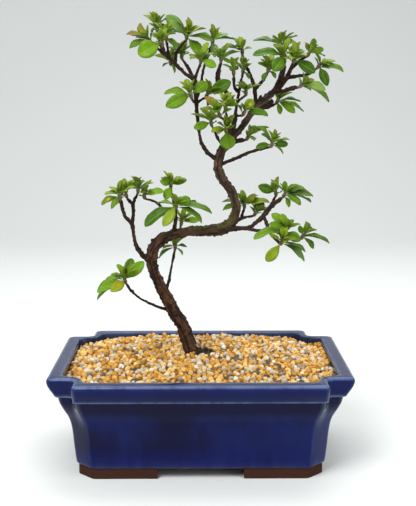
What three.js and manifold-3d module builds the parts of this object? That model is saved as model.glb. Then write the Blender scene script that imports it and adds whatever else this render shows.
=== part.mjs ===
// A satsuki azalea bonsai in its glazed pot: a bending trunk with sparse leafy shoots, in a
// rectangular pot with indented corners. Millimetres, +Z up, +X right and +Y away from the front.
// The origin is the middle of the pot's underside.

import * as THREE from "three";
import { mergeVertices } from "three/addons/utils/BufferGeometryUtils.js";
import Module from "manifold-3d";

const wasm = await Module();
wasm.setup();

// Pot
const POT_WIDTH = 205;
const POT_DEPTH = 155;
const POT_HEIGHT = 70;
const NOTCH = 19;
const BAND_HEIGHT = 13.6;
const RIM_BREADTH = 10;
const RIM_ROUND = 1.2;
const MOUTH_FOOT = 55;
const CAVITY_TOP = 40;
const CAVITY_INSET = 25;
const FOOT_HEIGHT = 7;
const FLOOR_TOP = 13;
const BODY_CORNER = 5;
const FOOT_CHAMFER = 8;
const CAVITY_CHAMFER = 19;
const MOUTH_NOTCH = 16;
const CHAMFER_SHARES = [0.3, 0.5, 0.7];
const FOOT_INSET = 19.5;
const FOOT_BREADTH = 12;
const FOOT_GAP_FRONT = 58;
const FOOT_GAP_SIDE = 44;
const FOOT_OVERLAP = 1;
const DRAIN_HOLE_RADIUS = 7;
const DRAIN_HOLE_SIDES = 16;
const DRAIN_HOLE_PLACES = [-46, 46];
const CUT_PAST = 1;

// Drain screens
const SCREEN_SIDE = 28;
const SCREEN_THICKNESS = 0.9;
const SCREEN_HOLES = 3;
const SCREEN_BAR = 3;

// Soil
const CLEARANCE = 0.3;
const SOIL_MIDDLE = 70;
const SOIL_EDGE = 64.5;
const SOIL_CREST_BACK = 14;
const SOIL_SPREAD_BACK = 8;
const SOIL_FALL_POWER = 2.2;
const BED_MARGIN = 8;
const GRAIN_PITCH = 7.2;
const GRAIN_RELIEF = 1.2;
const GRAIN_JITTER = 0.5;
const GRAIN_SINK = 0.6;
const GRAIN_SEED = 11;

// Wood
const ROOT_DEPTH = 26;
const ROOT_SHIFT_RIGHT = 7;
const ROOT_SHIFT_BACK = 1;
const ROOT_END_SHARE = 0.7;
const ROOT_SWELL_SHARE = 1.15;
const ROOT_HOLE_SPREAD = 0.45;
const TRUNK_SIDES = 10;
const TRUNK_LOBES = 3;
const TRUNK_LOBE_SHARE = 0.05;
const TRUNK_LOBE_TWIST = 0.5;
const BRANCH_SIDES = 5;
const TWIG_SIDES = 4;
const TWIG_RADIUS = 1.15;

// Leaves
const LEAF_THICKNESS = 0.7;
const LEAF_FOLD = 0.2;
const LEAF_ARCH = 0.08;
const LEAF_PROPORTION = 0.4;
const LEAF_BREADTH_MORE = 0.6;
const BLADE_SKEW = 1.15;
const BLADE_FULLNESS = 0.8;
const FOLDED_BREADTH = 4.4;
const LONG_BLADE_BREADTH = 5;
const WIDEST_LEAF = 10;
const SHOOT_LENGTH = 4;
const SHOOT_RADIUS = 1.4;
const SHOOT_NECK_RADIUS = 0.9;
const SHOOT_END_SHARE = 0.7;
const SHOOT_NECK = 1.2;
const SHOOT_CORE_HEIGHTS = [1, 2.5, 4];
const LEAF_ROOT_SHARE = 0.35;
const LEAF_ABOVE_SOIL = 4;
const LEAF_CLEARANCE = 1.9;
const WOOD_CLEARANCE = 1.3;
const SISTER_CLEARANCE = 1.2;
const OUTER_SAMPLES = 5;
const WOOD_SAMPLES_A_SPAN = 5;
const FURTHEST_NEIGHBOUR = 36;
const NUDGE_STEP = 1.6;
const NUDGE_STEPS = 10;
const FILLER_SEED = 100;
const FILLER_TRIES = 40;
const EDGE_ON = 0.05;
const LEVEL_LEAF_HEIGHT = 0.45 * SHOOT_LENGTH;
const UPRIGHT_LEAF_RISE = 0.33 * SHOOT_LENGTH;
const FILLER_LEAN = [0.75, 1.25];
const FILLER_LENGTH = [0.75, 1.1];
const FILLER_RISE = 2;
const FILLER_FOOT = 0.4;
const FILLER_STEP = 0.9;
const GOLDEN_ANGLE = Math.PI * (3 - Math.sqrt(5));

// The viewer's eye for the front view, and the way it looks at the tree.
const VIEWER = new THREE.Vector3(-1, -683, 253);
const FRONT_VIEW = new THREE.Vector3(0, 0.99, -0.12).normalize();

// Points closer than this are one point.
const WELD = 1e-4;

const COLOURS = {
  glaze: { color: 0x0b1c52, roughness: 0.15, metalness: 0 },
  mesh: { color: 0x1c1c1c, roughness: 0.6, metalness: 0 },
  soil: { color: 0xb07c3a, roughness: 0.95, metalness: 0 },
  bark: { color: 0x5a4032, roughness: 0.85, metalness: 0 },
  leaf: { color: 0x4f7d2a, roughness: 0.4, metalness: 0 },
};

// Trunk and branches, from root to tip: points [right, back, up, radius] in millimetres. Right
// and up are as the viewer sees them on the upright plane through the pot's middle.
const WOOD = {
  trunk: [[-7, 11, 73.5, 5.1], [-12, 10, 90, 4.5], [-18, 8, 100, 4.3], [-28, 5, 120, 4],
    [-33, 2, 131, 3.7], [-34.5, 0, 141, 3.8], [-33, -2, 147.5, 4], [-28, -3, 153, 4],
    [-19, -3, 157.5, 3.4], [-8, -1, 159.5, 3.2], [3, 1, 160, 3.6], [12, 4, 160.5, 4.2],
    [19.5, 5, 163.5, 4], [23.5, 6, 169.5, 3.2], [25, 5, 178, 3], [21.5, 4, 187.5, 3],
    [15, 4, 197, 3], [12, 4, 206.5, 3.1], [15, 5, 216.5, 3], [21, 6, 224, 2.6],
    [28, 7, 231.5, 2.2], [33.5, 8, 239, 2.1], [38, 9, 245.5, 2.1], [43.5, 10, 250.5, 2.1],
    [50, 11, 256, 2], [55.5, 12, 260.5, 1.7], [60, 12, 267, 1.4], [63.5, 12, 275, 1.1]],
  left_riser: [[12, 4, 210, 1.9], [5.5, 1, 214.5, 1.4], [1, -2, 221, 1.2], [-1, -4, 230, 1],
    [-2, -6, 240, 1.3], [-3, -7, 250, 1.5], [-4, -6, 264, 1.5], [-10, -7, 268.5, 1.3],
    [-17, -8, 275, 1.4], [-22, -10, 280, 1.3], [-27, -12, 283.5, 1]],
  left_fork: [[-4, -6, 264, 1.3], [-8, -1, 272, 1.1], [-12, 3, 278, 0.9]],
  left_fork_right: [[-4, -6, 264, 1.1], [-1.5, -9, 271, 0.9], [0, -11, 275, 0.8]],
  left_tip: [[-25, -11, 282.5, 1.1], [-29, -14, 285.5, 0.9], [-33, -17, 289, 0.8]],
  left_spur: [[-22, -10, 280, 1], [-24.5, -17, 284, 0.8], [-25.5, -22, 287, 0.8]],
  left_tall: [[-25, -11, 282.5, 1], [-27.5, -8, 289, 0.8], [-29, -5, 296, 0.8]],
  left_mid: [[-21, -10, 279, 1.1], [-22, -13, 285, 0.9], [-23, -14, 290, 0.9]],
  left_back: [[-17, -8, 275, 1.1], [-16, -4, 283, 0.9], [-10, 1, 291, 0.9]],
  left_under: [[-19, -9, 277, 1], [-20, 1, 277, 0.8], [-20, 9, 275, 0.7]],
  centre_riser: [[-3, -7, 251, 1.4], [0.5, -2, 261, 1.1], [2, 4, 271, 1], [8, 12, 288, 0.9]],
  knob_stem: [[22, 6, 225, 1.8], [23.5, 4, 235, 1.7], [25, 5, 247, 1.1], [27, 9, 258, 1],
    [29, 13, 268, 0.8]],
  crown_mid: [[25, 5, 247, 1.2], [18, 0, 256, 1.4], [12, -4, 264.5, 1.6], [14, -8, 276, 1.1]],
  crown_mid_left: [[26.5, 8, 256, 1], [23.5, 4, 260, 1.1], [23, 0, 267, 0.8]],
  front_stem: [[18, 5, 221, 1.5], [20, -4, 231, 1.3], [17.5, -12, 243, 0.8]],
  front_low: [[20, -3, 230, 0.9], [19, -10, 229.5, 0.8], [18, -15, 229, 0.8]],
  front_long: [[19.5, -6, 233, 0.9], [17, -14, 237, 0.8], [14, -20, 239, 0.8]],
  left_twig: [[16, 5, 218, 0.9], [12.5, -2, 224, 0.8], [9.5, -8, 230, 0.8], [8, -12, 233, 0.7]],
  riser_left: [[-3, -7, 249, 1.2], [-5, -13, 250.5, 0.9], [-6, -17, 252, 0.8]],
  riser_knob: [[-3, -7, 248, 1.2], [0, -5, 250.5, 0.9], [3, -3, 252, 0.8]],
  yellow_twig: [[24.5, 4, 240, 0.9], [27, -2, 240, 0.8], [29, -7, 240.5, 0.7]],
  small_twig: [[25.5, 6, 249, 0.8], [28.5, 4, 252, 0.7], [30.5, 3, 253.5, 0.7]],
  knob_right: [[21, 6, 221.5, 1.4], [27, 8, 223, 1.6], [31, 11, 223.5, 0.8]],
  right_low: [[13, 4, 206, 1.3], [24, 0, 210.5, 1.1], [33, -4, 214.5, 1.3], [40, -8, 216.5, 0.9],
    [48, -12, 218.5, 0.8]],
  leader_up: [[38.5, 9, 247, 1.7], [37.5, 11, 258, 1.4], [34, 14, 269, 1.2], [30, 18, 276, 1.1],
    [29, 20, 281, 1]],
  leader_up_right: [[37.5, 11, 258, 1.3], [42.5, 6, 263.5, 1.2], [46, 0, 269, 1]],
  stub: [[42, 10, 249, 1.4], [41.5, 7, 253.5, 1.3]],
  right_inner: [[49, 11, 255, 1.4], [54, 15, 264, 1.2], [56, 19, 273, 1.1], [55, 23, 285, 0.9]],
  right_front: [[55.5, 12, 260.5, 1.1], [57.5, 4, 270, 1], [58, -4, 278, 0.9]],
  right_knob: [[51, 11, 256.5, 1.5], [57, 6, 257, 1.2], [64, 0, 259, 1.5], [67.5, -5, 259.5, 0.9]],
  right_out: [[60, 12, 266, 1.3], [67, 12, 267, 1.1], [74.5, 11, 268.5, 1], [79.5, 10, 272, 0.9]],
  right_high: [[62.5, 12, 272, 1.1], [68, 14, 277.5, 1], [72.5, 15, 280, 0.9]],
  right_broad: [[60.5, 12, 268, 1.1], [62, 4, 272, 0.9], [63.5, -4, 276, 0.9]],
  dark_stub: [[38, 9, 245, 1.9], [44.5, 14, 246.5, 1.8], [49.5, 18, 250.5, 1.5]],
  right_under: [[43, 12, 245.5, 1.1], [47, 15, 245.5, 0.9], [51.5, 18, 248, 0.8]],
  low_left: [[-36, 1, 138, 1.9], [-44, -1, 147, 1.5], [-47, -4, 157, 1.4], [-48, -6, 164.5, 1.4],
    [-53, -9, 170.5, 1.2], [-56, -13, 181.5, 1.2]],
  low_left_fork: [[-48, -6, 164, 1.2], [-47, -3, 171, 1.1], [-47, 1, 179, 1.1], [-44, 5, 186, 0.9]],
  low_left_fork_left: [[-47, 1, 178.5, 1.1], [-49.5, -1, 181, 0.9], [-51, -3, 183, 0.8]],
  low_mid: [[-18.5, -3, 158, 1.6], [-17.5, -9, 167, 1.3], [-17, -15, 175, 1]],
  low_mid_back: [[-17.5, -9, 168, 0.9], [-18.5, -1, 177, 0.8], [-20.5, 8, 189, 0.8]],
  low_mid_left: [[-17.5, -9, 168, 0.9], [-25, -5, 174, 0.8], [-31, -2, 180, 0.9],
    [-38, 1, 182.5, 0.7]],
  low_twig: [[-23, 8, 103, 1.1], [-33, 2, 106.5, 0.9], [-43, -5, 111.5, 0.8],
    [-49.5, -11, 117.5, 0.9], [-52.5, -14, 122, 1]],
  sprig: [[-25, 6, 116, 1.4], [-22.5, 8, 124, 1], [-19, 11, 143, 0.8], [-16, 15, 156, 0.7],
    [-14, 17, 163, 0.7]],
  sprig_side: [[-20, 10.5, 138, 0.8], [-18.5, 9, 142, 0.7], [-18, 7, 146, 0.7]],
  right_spur: [[13, 4, 159.5, 2], [29, 0, 161.5, 1.4], [40, -4, 160, 1.1], [50, -8, 160, 1],
    [59, -12, 158, 1]],
  right_spur_end: [[50, -8, 160, 1], [61, -7, 156.5, 0.9], [70, -5, 154.5, 0.8]],
  right_arm: [[21, 5, 162.5, 1.5], [33, 3, 162, 1.3], [40, 3, 166.5, 1.5], [45, 3, 171.5, 1.8],
    [50, 2, 177.5, 1.6], [57, 1, 183, 1.2]],
  right_arm_left: [[49, 2, 176.5, 1.1], [50.5, 7, 180, 0.9], [52.5, 11, 184, 0.8]],
  right_drop: [[44, 3, 170.5, 1.3], [47, -6, 164, 1.2], [50, -16, 157, 1], [56, -22, 151, 1.1]],
  back_twig: [[20, 7, 163.5, 1.6], [28.5, 14, 168.5, 1.2], [37, 21, 170.5, 0.8]],
  back_twig_up: [[28.5, 14, 168.5, 0.9], [30.5, 18, 175, 0.8]],
  trunk_stub: [[-32, -3, 150.5, 1.4], [-34.5, -4, 154, 0.9]],
};

// Leafy shoots: the stem whose end each grows on, the way it points, the leaves that show, each
// by its tip [right, back, up] in the same way with the breadth that the viewer sees, how many
// more a rule adds round it, and their length.
const SHOOTS = {
  upper_left_1: { on: "left_tip", axis: [-0.5, -0.3, 0.8], more: 2, size: 12,
    leaves: [[-50.5, -19, 295.5, 4], [-48.5, -20, 286, 5], [-41.5, -14, 302.5, 4.5]] },
  upper_left_2: { on: "left_spur", axis: [-0.2, -0.5, 0.8], more: 2, size: 11,
    leaves: [[-42.5, -26, 281.5, 12]] },
  upper_left_3: { on: "left_tall", axis: [0, -0.2, 0.95], more: 3, size: 10,
    leaves: [[-38.5, -3, 308.5, 3], [-32, -6, 310, 4.5], [-27, -4, 307, 1.5], [-23, -2, 306, 1.5],
      [-24, -9, 301.5, 3]] },
  upper_left_4: { on: "left_mid", axis: [0, -0.3, 0.95], more: 3, size: 10,
    leaves: [[-23.5, -15, 302, 3.5], [-20.5, -13, 300.5, 3], [-16, -20, 286.5, 4]] },
  upper_left_5: { on: "left_back", axis: [0.1, -0.3, 0.95], more: 4, size: 13,
    leaves: [[-23, -2, 307.5, 9], [-9.5, 2, 305, 3], [-6.5, 3, 306, 3], [4, 4, 299.5, 2],
      [8.5, -3, 290.5, 5], [1, -8, 278, 7]] },
  upper_left_6: { on: "left_fork", axis: [-0.1, -0.2, 0.95], more: 3, size: 8,
    leaves: [[-15, 1, 285, 3.5], [-10.5, 4, 284, 2.5]] },
  upper_left_7: { on: "left_under", axis: [-0.2, 0.4, 0.6], more: 1, size: 8,
    leaves: [[-26, 11, 273.5, 1.5], [-17.5, 12, 269, 2]] },
  upper_left_8: { on: "left_fork_right", axis: [0.1, -0.5, 0.85], more: 2, size: 10,
    leaves: [[11, -16, 273.5, 6]] },
  upper_mid_1: { on: "centre_riser", axis: [0.1, -0.2, 0.95], more: 3, size: 11,
    leaves: [[7.5, 11, 299.5, 3], [13.5, 12, 295, 3], [19, 13, 296, 3], [23.5, 15, 292, 1.5],
      [10, 4, 280, 5]] },
  upper_mid_2: { on: "crown_mid", axis: [0, -0.3, 0.95], more: 4, size: 10,
    leaves: [[15.5, -10, 285, 4], [20.5, -11, 276, 3], [11, -12, 282, 3]] },
  upper_mid_3: { on: "crown_mid_left", axis: [0, -0.2, 0.95], more: 3, size: 8,
    leaves: [[26, -1, 273.5, 3], [20, -2, 272.5, 3]] },
  upper_mid_4: { on: "knob_stem", axis: [0.1, 0, 0.95], more: 4, size: 8,
    leaves: [[33.5, 12, 265, 2.5]] },
  upper_mid_5: { on: "leader_up", axis: [0, -0.2, 0.97], more: 3, size: 10,
    leaves: [[27.5, 19, 290.5, 3], [30.5, 21, 291, 2.5], [23.5, 18, 287.5, 3], [35.5, 21, 286, 2],
      [14.5, 20, 286.5, 2.5], [14, 17, 278.5, 3.5]] },
  upper_mid_6: { on: "leader_up_right", axis: [0.1, -0.3, 0.95], more: 3, size: 9,
    leaves: [[39.5, -3, 276, 3], [47.5, 0, 279, 3], [52, -3, 265.5, 3], [43, -4, 263.5, 3]] },
  upper_right_1: { on: "right_inner", axis: [0.1, -0.1, 0.97], more: 3, size: 11,
    leaves: [[55.5, 22, 297, 5], [58.5, 24, 297.5, 3], [36, 22, 291, 3.5], [49.5, 25, 294, 1.5],
      [66.5, 26, 294.5, 1.5], [63, 22, 291, 4]] },
  upper_right_2: { on: "right_front", axis: [-0.1, -0.5, 0.85], more: 2, size: 11,
    leaves: [[36, -8, 281.5, 6.5], [50, -12, 270.5, 9]] },
  upper_right_3: { on: "trunk", axis: [0.1, -0.1, 0.95], more: 3, size: 11,
    leaves: [[68.5, 12, 290.5, 3], [64, 10, 288, 3], [59, 9, 287, 3], [70.5, 9, 285.5, 3]] },
  upper_right_4: { on: "right_high", axis: [0.4, -0.1, 0.85], more: 3, size: 10,
    leaves: [[72.5, 14, 289.5, 3.5], [76.5, 16, 289.5, 1.5], [84.5, 15, 285.5, 5],
      [86, 18, 281, 2.5]] },
  upper_right_5: { on: "right_broad", axis: [0.2, -0.5, 0.8], more: 2, size: 11,
    leaves: [[79, -8, 269.5, 8]] },
  upper_right_6: { on: "right_out", axis: [0.5, -0.2, 0.7], more: 2, size: 9,
    leaves: [[98.5, 10, 270, 5], [89.5, 8, 275, 3.5], [87.5, 4, 260.5, 6.5]] },
  upper_right_7: { on: "right_knob", axis: [0.6, -0.2, 0.6], more: 2, size: 9,
    leaves: [[86.5, -7, 258, 6.5], [89.5, -1, 249.5, 1.5], [79, -2, 263, 4]] },
  upper_right_8: { on: "right_under", axis: [0.4, -0.2, 0.7], more: 2, size: 10,
    leaves: [[65.5, 14, 242, 6], [72, 20, 243, 2], [69.5, 22, 250, 1.5], [55.5, 12, 241, 4]] },
  mid_1: { on: "yellow_twig", axis: [0.4, -0.3, 0.8], more: 1, size: 9,
    leaves: [[36, -9, 251.5, 7], [47, -11, 240.5, 5.5]] },
  mid_2: { on: "small_twig", axis: [0, -0.1, 0.97], more: 3, size: 6,
    leaves: [[32.5, 3, 261, 3]] },
  mid_3: { on: "front_stem", axis: [0.1, -0.2, 0.95], more: 2, size: 9,
    leaves: [[13.5, -11, 256, 3], [20.5, -13, 256, 2.5], [24.5, -12, 254.5, 2],
      [26, -15, 248.5, 3.5]] },
  mid_4: { on: "front_long", axis: [-0.2, -0.5, 0.8], more: 1, size: 9,
    leaves: [[3, -21, 253.5, 5], [9.5, -25, 247.5, 5]] },
  mid_5: { on: "riser_knob", axis: [0.3, -0.3, 0.85], more: 1, size: 9,
    leaves: [[21, -5, 263.5, 9], [5, -9, 247, 2.5]] },
  mid_6: { on: "riser_left", axis: [-0.1, -0.3, 0.95], more: 2, size: 11,
    leaves: [[-25, -17, 255.5, 5.5], [-23.5, -21, 246.5, 9], [-6.5, -17, 262.5, 3.5],
      [5, -15, 262.5, 8]] },
  mid_7: { on: "left_twig", axis: [-0.1, -0.3, 0.95], more: 2, size: 8,
    leaves: [[-4.5, -16, 231.5, 6], [-6.5, -10, 241.5, 1.5], [4.5, -11, 241.5, 3.5],
      [11, -12, 241, 3]] },
  mid_8: { on: "front_low", axis: [0, -0.6, 0.8], more: 2, size: 7,
    leaves: [[19.5, -18, 217, 11]] },
  mid_9: { on: "knob_right", axis: [0.5, -0.2, 0.8], more: 1, size: 7,
    leaves: [[47.5, 10, 232.5, 3.5], [38, 12, 223, 2]] },
  mid_10: { on: "right_low", axis: [0.3, -0.2, 0.9], more: 1, size: 8,
    leaves: [[61, -12, 220.5, 5], [58, -10, 214, 2], [38.5, -15, 218, 4.5], [42.5, -10, 228, 3],
      [36, -9, 230.5, 2.5], [50.5, -13, 225, 3.5]] },
  lower_left_1: { on: "low_left", axis: [-0.1, -0.2, 0.95], more: 2, size: 9,
    leaves: [[-55.5, -13, 195.5, 4.5], [-69.5, -15, 178.5, 4.5], [-64.5, -11, 188, 1.5]] },
  lower_left_2: { on: "low_left_fork_left", axis: [-0.2, -0.3, 0.9], more: 2, size: 8,
    leaves: [[-62.5, -8, 175.5, 4.5]] },
  lower_left_3: { on: "low_left_fork", axis: [0, -0.1, 0.97], more: 3, size: 8,
    leaves: [[-42, 5, 196, 3.5], [-50.5, 5, 194.5, 2], [-32.5, 7, 194, 1.5],
      [-53, 2, 190.5, 3]] },
  lower_left_4: { on: "low_mid_back", axis: [0, -0.2, 0.95], more: 2, size: 8,
    leaves: [[-25.5, 7, 198, 4.5], [-19.5, 9, 199, 3], [-28, 5, 195.5, 4], [-9.5, 8, 196, 5],
      [-24.5, 1, 182, 6.5]] },
  lower_left_5: { on: "low_mid", axis: [0, -0.4, 0.9], more: 2, size: 10,
    leaves: [[-39.5, -18, 163.5, 8], [-26, -23, 163.5, 7], [8.5, -15, 173, 4], [1.5, -17, 166, 4],
      [-7, -13, 183, 7], [-18, -14, 186, 3.5], [-3, -10, 180, 1.5], [-30.5, -11, 179.5, 1.5]] },
  lower_left_6: { on: "sprig", axis: [0.2, 0, 0.95], more: 2, size: 7,
    leaves: [[-1, 15, 167, 4.5]] },
  lower_left_7: { on: "low_twig", axis: [-0.2, -0.3, 0.9], more: 0, size: 9,
    leaves: [[-40, -16, 138, 8], [-48.5, -12, 140, 7], [-59, -13, 136, 4], [-67.5, -11, 125.5, 3],
      [-72.5, -16, 117.5, 6.5], [-74, -13, 110.5, 3.5], [-65, -21, 118, 6]] },
  lower_left_8: { on: "low_mid_left", axis: [-0.1, -0.3, 0.9], more: 2, size: 7,
    leaves: [[-25.5, 1, 188, 5]] },
  low_sprig: { on: "sprig_side", axis: [0.1, 0, 0.98], more: 1, size: 6,
    leaves: [[-27, 8, 147.5, 1.5], [-30, 9, 140.5, 2], [-9.5, 6, 148.5, 2],
      [-12.5, 6, 142.5, 1.5]] },
  lower_right_1: { on: "back_twig_up", axis: [0, -0.2, 0.95], more: 2, size: 9,
    leaves: [[30, 18, 186, 2.5], [25, 19, 186.5, 3.5], [15, 20, 181, 1.5], [15.5, 16, 174.5, 3.5],
      [38.5, 15, 186, 5], [48.5, 17, 180.5, 4.5]] },
  lower_right_2: { on: "back_twig", axis: [0.3, -0.2, 0.9], more: 2, size: 8,
    leaves: [[44.5, 18, 180, 5], [50, 22, 175, 3]] },
  lower_right_3: { on: "right_arm_left", axis: [-0.1, -0.2, 0.95], more: 2, size: 9,
    leaves: [[40.5, 8, 191.5, 7], [51, 11, 195, 5.5]] },
  lower_right_4: { on: "right_arm", axis: [0.4, -0.2, 0.9], more: 1, size: 10,
    leaves: [[59, 1, 195, 4], [56.5, 3, 193, 1.5], [68.5, 0, 192.5, 3.5], [73, 3, 190, 3.5],
      [80, -1, 184, 5], [71, -4, 178, 5], [78.5, 2, 178, 2], [62.5, -5, 176, 3.5]] },
  lower_right_5: { on: "right_spur", axis: [0.1, -0.3, 0.95], more: 1, size: 9,
    leaves: [[57, -12, 172, 6], [50.5, -11, 172, 6], [48, -14, 165.5, 5], [65.5, -10, 168, 3.5],
      [37, -13, 155.5, 5], [49, -20, 151.5, 8], [70.5, -20, 152.5, 7]] },
  lower_right_6: { on: "right_spur_end", axis: [0.4, -0.1, 0.8], more: 1, size: 8,
    leaves: [[69.5, -6, 163.5, 4], [78.5, -4, 162.5, 3], [82, -2, 160.5, 2], [91.5, -4, 151.5, 3],
      [80, -7, 147, 4]] },
  lower_right_7: { on: "right_drop", axis: [0.1, -0.5, 0.7], more: 1, size: 9,
    leaves: [[46.5, -24, 138, 7.5], [74, -22, 138, 5], [73.5, -19, 146, 2]] },
};

// Solids and meshes

function toSolid(geometry) {
  const bare = geometry.clone();
  bare.deleteAttribute("normal");
  bare.deleteAttribute("uv");
  const merged = mergeVertices(bare, WELD);
  return new wasm.Manifold(new wasm.Mesh({
    numProp: 3,
    vertProperties: new Float32Array(merged.attributes.position.array),
    triVerts: new Uint32Array(merged.index.array),
  }));
}

function toGeometry(solid) {
  const mesh = solid.getMesh();
  const geometry = new THREE.BufferGeometry();
  geometry.setAttribute("position", new THREE.BufferAttribute(mesh.vertProperties, 3));
  geometry.setIndex(new THREE.BufferAttribute(mesh.triVerts, 1));
  geometry.computeVertexNormals();
  return geometry;
}

function part(name, geometry, look) {
  const mesh = new THREE.Mesh(geometry, new THREE.MeshStandardMaterial(look));
  mesh.name = name;
  return mesh;
}

function meshed(points, faces) {
  const geometry = new THREE.BufferGeometry();
  geometry.setAttribute("position", new THREE.Float32BufferAttribute(points.flat(), 3));
  geometry.setIndex(faces.flat());
  return geometry;
}

// A closed body with flat ends through rings of points that all have the same count, each ring
// anticlockwise seen from the body's last end. Rings that run the other way are flipped.
function loft(rings, flipped = false) {
  const count = rings[0].length;
  const points = rings.flat();
  const faces = [];
  for (let ring = 0; ring < rings.length - 1; ring += 1) {
    for (let side = 0; side < count; side += 1) {
      const after = (side + 1) % count;
      const [a, b] = [ring * count + side, ring * count + after];
      const [c, d] = [a + count, b + count];
      faces.push([a, b, d], [a, d, c]);
    }
  }
  const last = (rings.length - 1) * count;
  faces.push(...capTriangles(rings[0]).map(([a, b, c]) => [a, c, b]));
  faces.push(...capTriangles(rings.at(-1)).map((face) => face.map((index) => last + index)));
  return meshed(points, flipped ? faces.map(([a, b, c]) => [a, c, b]) : faces);
}

// Triangles that fill a flat ring, worked out in the plane that the ring lies in.
function capTriangles(ring) {
  const corner = ring.map((point) => new THREE.Vector3(...point));
  const normal = new THREE.Vector3();
  corner.forEach((point, index) => {
    normal.add(point.clone().cross(corner[(index + 1) % corner.length]));
  });
  normal.normalize();
  const along = corner[1].clone().sub(corner[0]).normalize();
  const across = normal.clone().cross(along);
  const flat = corner.map((point) => new THREE.Vector2(point.dot(along), point.dot(across)));
  return THREE.ShapeUtils.triangulateShape(flat, []);
}

// A repeatable stream of numbers from 0 to 1.
function seeded(seed) {
  let state = seed >>> 0;
  return () => {
    state = (state + 0x6d2b79f5) >>> 0;
    let mixed = Math.imul(state ^ (state >>> 15), state | 1);
    mixed ^= mixed + Math.imul(mixed ^ (mixed >>> 7), mixed | 61);
    return ((mixed ^ (mixed >>> 14)) >>> 0) / 4294967296;
  };
}

// Pot: a rectangular outline whose corners are cut in square by a notch, or chamfered across
// where the notch is filled. Rounds are given as the number of points on each corner's arc.

function arc(centreX, centreY, radius, from, to, steps) {
  const points = [];
  for (let step = 0; step <= steps; step += 1) {
    const angle = from + ((to - from) * step) / steps;
    points.push([centreX + radius * Math.cos(angle), centreY + radius * Math.sin(angle)]);
  }
  return points;
}

function potOutline({ inset, notch, filled, corner, hollow }) {
  const quarter = Math.PI / 2;
  const x = POT_WIDTH / 2 - inset;
  const y = POT_DEPTH / 2 - inset;
  const right = arc(x - corner, y - notch - corner, corner, 0, quarter * (1 - filled / 2), 1);
  const back = arc(x - notch - corner, y - corner, corner, quarter * (filled / 2), quarter, 1);
  const deep = arc(x - notch + hollow, y - notch + hollow, hollow, -quarter, -2 * quarter, 2);
  const [first, last] = [right[1], back[0]];
  const inner = deep.map(([px, py], index) => {
    const chamferX = first[0] + (last[0] - first[0]) * CHAMFER_SHARES[index];
    const chamferY = first[1] + (last[1] - first[1]) * CHAMFER_SHARES[index];
    return [px + (chamferX - px) * filled, py + (chamferY - py) * filled];
  });
  const one = [...right, ...inner, ...back];
  const mirrored = one.map(([px, py]) => [-px, py]).reverse();
  const half = [...one, ...mirrored];
  return [...half, ...half.map(([px, py]) => [-px, -py])];
}

function potRing(shape, z) {
  return potOutline(shape).map(([x, y]) => [x, y, z]);
}

const BODY_SHAPE = { notch: FOOT_CHAMFER, filled: 1, corner: BODY_CORNER, hollow: 3 };
const BAND_SHAPE = { filled: 0, corner: 3.5, hollow: 5 };
const MOUTH_SHAPE = {
  inset: RIM_BREADTH, notch: MOUTH_NOTCH, filled: 0.25, corner: 4, hollow: 12,
};
const CAVITY_SHAPE = {
  inset: CAVITY_INSET, notch: CAVITY_CHAMFER, filled: 1, corner: 9, hollow: 3,
};

// The flared body from its foot to the band: height, inset, corner chamfer and how far the
// chamfer is filled. Near the top it hollows out and runs into the band's notch.
const BODY_PROFILE = [[FOOT_HEIGHT, 20, FOOT_CHAMFER, 1], [9.5, 18, FOOT_CHAMFER, 1],
  [20, 16.9, FOOT_CHAMFER, 1], [32, 15.8, 8.5, 1], [40, 14, 9.5, 0.9], [47, 10.3, 11.5, 0.75],
  [52, 8, 12.5, 0.5], [POT_HEIGHT - BAND_HEIGHT, 7.2, 12.9, 0.2]];
// The band, whose face leans in towards its foot while the ends of its four lobes stay upright:
// height above the foot, inset and notch.
const BAND_PROFILE = [[0.2, 5.6, 13.6], [1.2, 4.9, 14.2], [3.2, 3.5, 15.5], [7.1, 0.9, 18.1],
  [10, 0, NOTCH], [12, 0.4, NOTCH], [BAND_HEIGHT, 2.4, NOTCH]];

function makePot() {
  const bandFoot = POT_HEIGHT - BAND_HEIGHT;
  const body = BODY_PROFILE.map(([z, inset, notch, filled]) => {
    return potRing({ ...BODY_SHAPE, inset, notch, filled }, z);
  });
  const band = BAND_PROFILE.map(([z, inset, notch]) => {
    return potRing({ ...BAND_SHAPE, inset, notch }, bandFoot + z);
  });
  const inside = [
    potRing({ ...MOUTH_SHAPE, inset: RIM_BREADTH - RIM_ROUND }, POT_HEIGHT),
    potRing(MOUTH_SHAPE, POT_HEIGHT - RIM_ROUND),
    potRing(MOUTH_SHAPE, MOUTH_FOOT),
    potRing(CAVITY_SHAPE, CAVITY_TOP),
    potRing(CAVITY_SHAPE, FLOOR_TOP),
  ];
  let pot = toSolid(loft([...body, ...band, ...inside]));
  pot = pot.add(makeFeet());
  for (const x of DRAIN_HOLE_PLACES) {
    const depth = FLOOR_TOP + 2 * CUT_PAST;
    const hole = new THREE.CylinderGeometry(
      DRAIN_HOLE_RADIUS, DRAIN_HOLE_RADIUS, depth, DRAIN_HOLE_SIDES);
    hole.rotateX(Math.PI / 2).translate(x, 0, FLOOR_TOP / 2);
    pot = pot.subtract(toSolid(hole));
  }
  return toGeometry(pot);
}

// A ring under the body's edge, cut away in the middle of each side, which leaves the corners.
function makeFeet() {
  const slab = (inset, low, high) => toSolid(loft([low, high].map((z) => {
    return potRing({ ...BODY_SHAPE, inset }, z);
  })));
  return slab(FOOT_INSET, 0, FOOT_HEIGHT + FOOT_OVERLAP)
    .subtract(slab(FOOT_INSET + FOOT_BREADTH, -CUT_PAST, FOOT_HEIGHT))
    .subtract(block(FOOT_GAP_FRONT, POT_DEPTH, -CUT_PAST, FOOT_HEIGHT))
    .subtract(block(POT_WIDTH, FOOT_GAP_SIDE, -CUT_PAST, FOOT_HEIGHT));
}

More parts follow.
